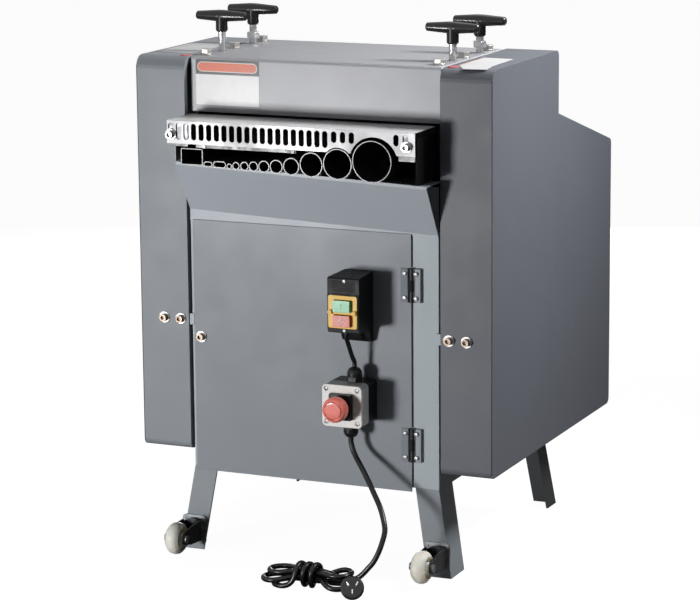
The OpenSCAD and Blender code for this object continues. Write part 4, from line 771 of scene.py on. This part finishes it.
def screwHead(x, y, z, radius, height):
    # Height over rings and angles: a dome that falls to its rim, lowered inside a cross
    rim, slot, reach = screwLook["rim"], screwLook["slot"], screwLook["reach"]
    r = np.linspace(0, 1, screwLook["rings"])[:, None] ** 0.8
    a = np.linspace(0, 2 * math.pi, screwLook["around"], endpoint=False)[None]
    fall = np.clip((r - rim) / (1 - rim), 0, 1) ** 2
    dome = height + screwLook["crown"] * (1 - r ** 2) - (height + 0.1) * fall
    u, v = np.abs(r * np.cos(a)), np.abs(r * np.sin(a))
    inCross = ((u < slot) & (v < reach)) | ((v < slot) & (u < reach))
    lift = dome + 0 * a - np.where(inCross, screwLook["recess"], 0)
    angle = a + screwLook["turn"]
    return np.stack([(x + radius * r * np.cos(angle)) * mm, (y - lift - depthMiddle) * mm,
                     (z + radius * r * np.sin(angle)) * mm], -1)


for group, body in ((frameScrews, "base"), (doorScrews, "door")):
    grids = [screwHead(*p) for p in group]
    shape = grids[0].shape[:2]
    faces = np.vstack([gridFaces(*shape, True) + i * shape[0] * shape[1] for i in range(len(grids))])
    points = np.vstack([g.reshape(-1, 3) for g in grids])
    addPiece("screwHeads" + body.capitalize(), points, faces, screwSteel, body, False)
print("screws ready")

# Plain marks on the two buttons: a bar for on and a ring for off
markPaint = mouldedPlastic("markPaint", {**plasticLook, "colour": (0.82, 0.82, 0.8), "cloud": 0.03,
                                         "grain": 0.05, "wornColour": (0.7, 0.7, 0.7)})
markLook = {"bar": (1.5, 7.0), "ring": 3.7, "tall": 1.1, "line": 1.1, "proud": 0.12, "edge": 0.04,
            "front": -68.98, "x": 80, "onZ": 432, "offZ": 409}
w, h = markLook["bar"][0] / 2, markLook["bar"][1] / 2
bar = thinPlate(rounded([(-w, -h), (w, -h), (w, h), (-w, h)], 0.3, 4), markLook["proud"], markLook["edge"])
grid = facingFront(bar, markLook["front"], markLook["x"], markLook["onZ"])
addPiece("markOn", grid.reshape(-1, 3), gridFaces(*grid.shape[:2], True), markPaint, "green_button")
# The ring: a low oval profile carried round an ellipse
profile = np.linspace(0, 2 * math.pi, 12, endpoint=False)
ringR = markLook["ring"] + markLook["line"] / 2 * np.cos(profile)[None]
ring = np.stack([ringR * np.cos(turn)[:, None], ringR * np.sin(turn)[:, None] * markLook["tall"],
                 (markLook["proud"] * np.sin(profile))[None] + 0 * turn[:, None]], -1)
grid = facingFront(ring, markLook["front"], markLook["x"], markLook["offZ"])
addPiece("markOff", grid.reshape(-1, 3), gridFaces(*grid.shape[:2], True, True), markPaint, "red_button")

# The stop button's head: a profile turned round its axis, with three moulded arcs that show which way it turns
# The profile is radius and lift; each arc has its radius, half its width and its depth, and spans some degrees
headLook = {"profile": [(0, 34.7), (6, 34.72), (12, 34.6), (15.4, 33.9), (17.8, 32.2), (19.3, 29.4),
                        (19.85, 26), (19.85, 20.5), (19.2, 17.6), (17.2, 15.6), (15, 15.1), (12, 14.3),
                        (11.05, 14.1)],
            "step": 0.22, "around": 288, "arc": (13.9, 1.0, 0.9),
            "spans": ((25, 115), (145, 235), (265, 355))}


def turnedHead(look):
    # Radius and lift along the profile, turned round; a point is lowered where its radius is near the middle of
    # the arcs and its angle lies in a span
    line = smoothLine(np.array([(r, lift, 0.0) for r, lift in look["profile"]]), look["step"])[:, :2]
    r, lift = line[:, :1], line[:, 1:2]
    angle = np.linspace(0, 360, look["around"], endpoint=False)[None]
    middle, half, deep = look["arc"]
    across = np.clip(1.4 - np.abs(r - middle) / half * 1.4, 0, 1)
    along = sum(np.clip(np.minimum(angle - a, b - angle) / 3.0, 0, 1) for a, b in look["spans"])
    dip = across * along * (lift > 30)
    turned = np.radians(angle)
    return np.stack([(stopAt[0] + r * np.cos(turned)) * mm, (stopAt[1] - lift + deep * dip - depthMiddle) * mm,
                     (stopAt[2] + r * np.sin(turned)) * mm], -1)


grid = turnedHead(headLook)
stopHead = addPiece("stopHead", grid.reshape(-1, 3), gridFaces(*grid.shape[:2], True), headPlastic,
                    "stop_twist")
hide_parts("stop_head")
print("marks and stop head ready")

# Studio: the key lamp stands low at the front left, others light the top, the right side and the back.
# Each has its place, the point it is aimed at, its width and height, its watts and its spread in degrees
lampLook = {"key": ((-1.2, -2.75, 0.12), (0.0, 0.0, 0.42), (0.45, 0.6), 78.0, 180),
            "side": ((1.5, 0.35, 1.85), (0.3, -0.1, 0.78), (0.5, 0.5), 7.2, 60),
            "top": ((0.0, 0.9, 2.4), (0.0, 0.0, 0.8), (1.6, 1.0), 2.2, 60),
            "rear": ((-0.9, 2.7, 0.32), (0.0, 0.2, 0.4), (1.2, 0.6), 22.0, 180)}
for name, (at, aim, size, power, spread) in lampLook.items():
    lamp = bpy.data.objects.new(name + "Lamp", bpy.data.lights.new(name + "Lamp", "AREA"))
    lamp.data.shape, lamp.data.size, lamp.data.size_y = "RECTANGLE", size[0], size[1]
    lamp.data.energy, lamp.data.spread = power, math.radians(spread)
    lamp.location = at
    lamp.rotation_euler = (Vector(aim) - Vector(at)).to_track_quat("-Z", "Y").to_euler()
    bpy.context.scene.collection.objects.link(lamp)

# The surround is white to the camera. Shiny things see a pale room, dimmer behind; matt ones get little of it
roomLook = {"camera": 1.0, "shiny": 1.0, "front": 0.95, "back": 0.35, "matt": 0.03}
room = Shade("studio", bpy.data.worlds.new("studio"))
wayX, wayY, wayZ = room.parts(room.add("ShaderNodeTexCoord", output=0))
frontness = (0.35 - wayY * 0.7 - wayX * 0.35 + wayZ * 0.25).ramp(-0.45, 1.0)
tone = room.mix(frontness, (roomLook["back"],) * 3, (roomLook["front"],) * 3)
bright = room.tree.nodes["Background"]
room.fill(bright.inputs[0], tone)
room.fill(bright.inputs[1], roomLook["shiny"])
dim = room.add("ShaderNodeBackground", None, {0: tone, 1: roomLook["matt"]})
seen = room.add("ShaderNodeBackground", None, {0: (1.0, 1.0, 1.0), 1: roomLook["camera"]})
cameraRay = room.add("ShaderNodeLightPath", output=0)
shinyRay = room.add("ShaderNodeLightPath", output=3)
shiny = room.add("ShaderNodeMixShader", None, {0: shinyRay, 1: dim, 2: Link(room, bright.outputs[0])})
both = room.add("ShaderNodeMixShader", None, {0: cameraRay, 1: shiny, 2: seen})
room.fill(room.tree.nodes["World Output"].inputs[0], both)
bpy.context.scene.world = room.owner
bpy.context.scene.view_settings.view_transform = "Standard"

# The floor is plain and pale, with only a faint shadow for the camera
floorLook = {"reach": 9.0, "albedo": (0.22, 0.22, 0.22), "shown": 0.965, "shadow": 0.22}
reach = floorLook["reach"]
corners = [(-reach, -reach, 0), (reach, -reach, 0), (reach, reach, 0), (-reach, reach, 0)]
floor = addMesh("floor", corners, [(0, 1, 2, 3)], False)
floorShade = Shade("floorShade")
floorShade.finish({"Base Color": floorLook["albedo"], "Roughness": 0.9})
glow = floorShade.add("ShaderNodeEmission", None, {0: (1.0, 1.0, 1.0), 1: floorLook["shown"]})
shadowed = floorShade.add("ShaderNodeBsdfDiffuse", None, {0: (floorLook["shadow"],) * 3})
shown = floorShade.add("ShaderNodeAddShader", None, {0: glow, 1: shadowed})
cameraRay = floorShade.add("ShaderNodeLightPath")
plain = Link(floorShade, floorShade.surface.outputs[0])
cast = floorShade.add("ShaderNodeMixShader", None, {0: cameraRay, 1: plain, 2: shown})
floorShade.fill(floorShade.tree.nodes["Material Output"].inputs[0], cast)
floor.data.materials.append(floorShade.owner)
print("camera, lamps and floor ready")
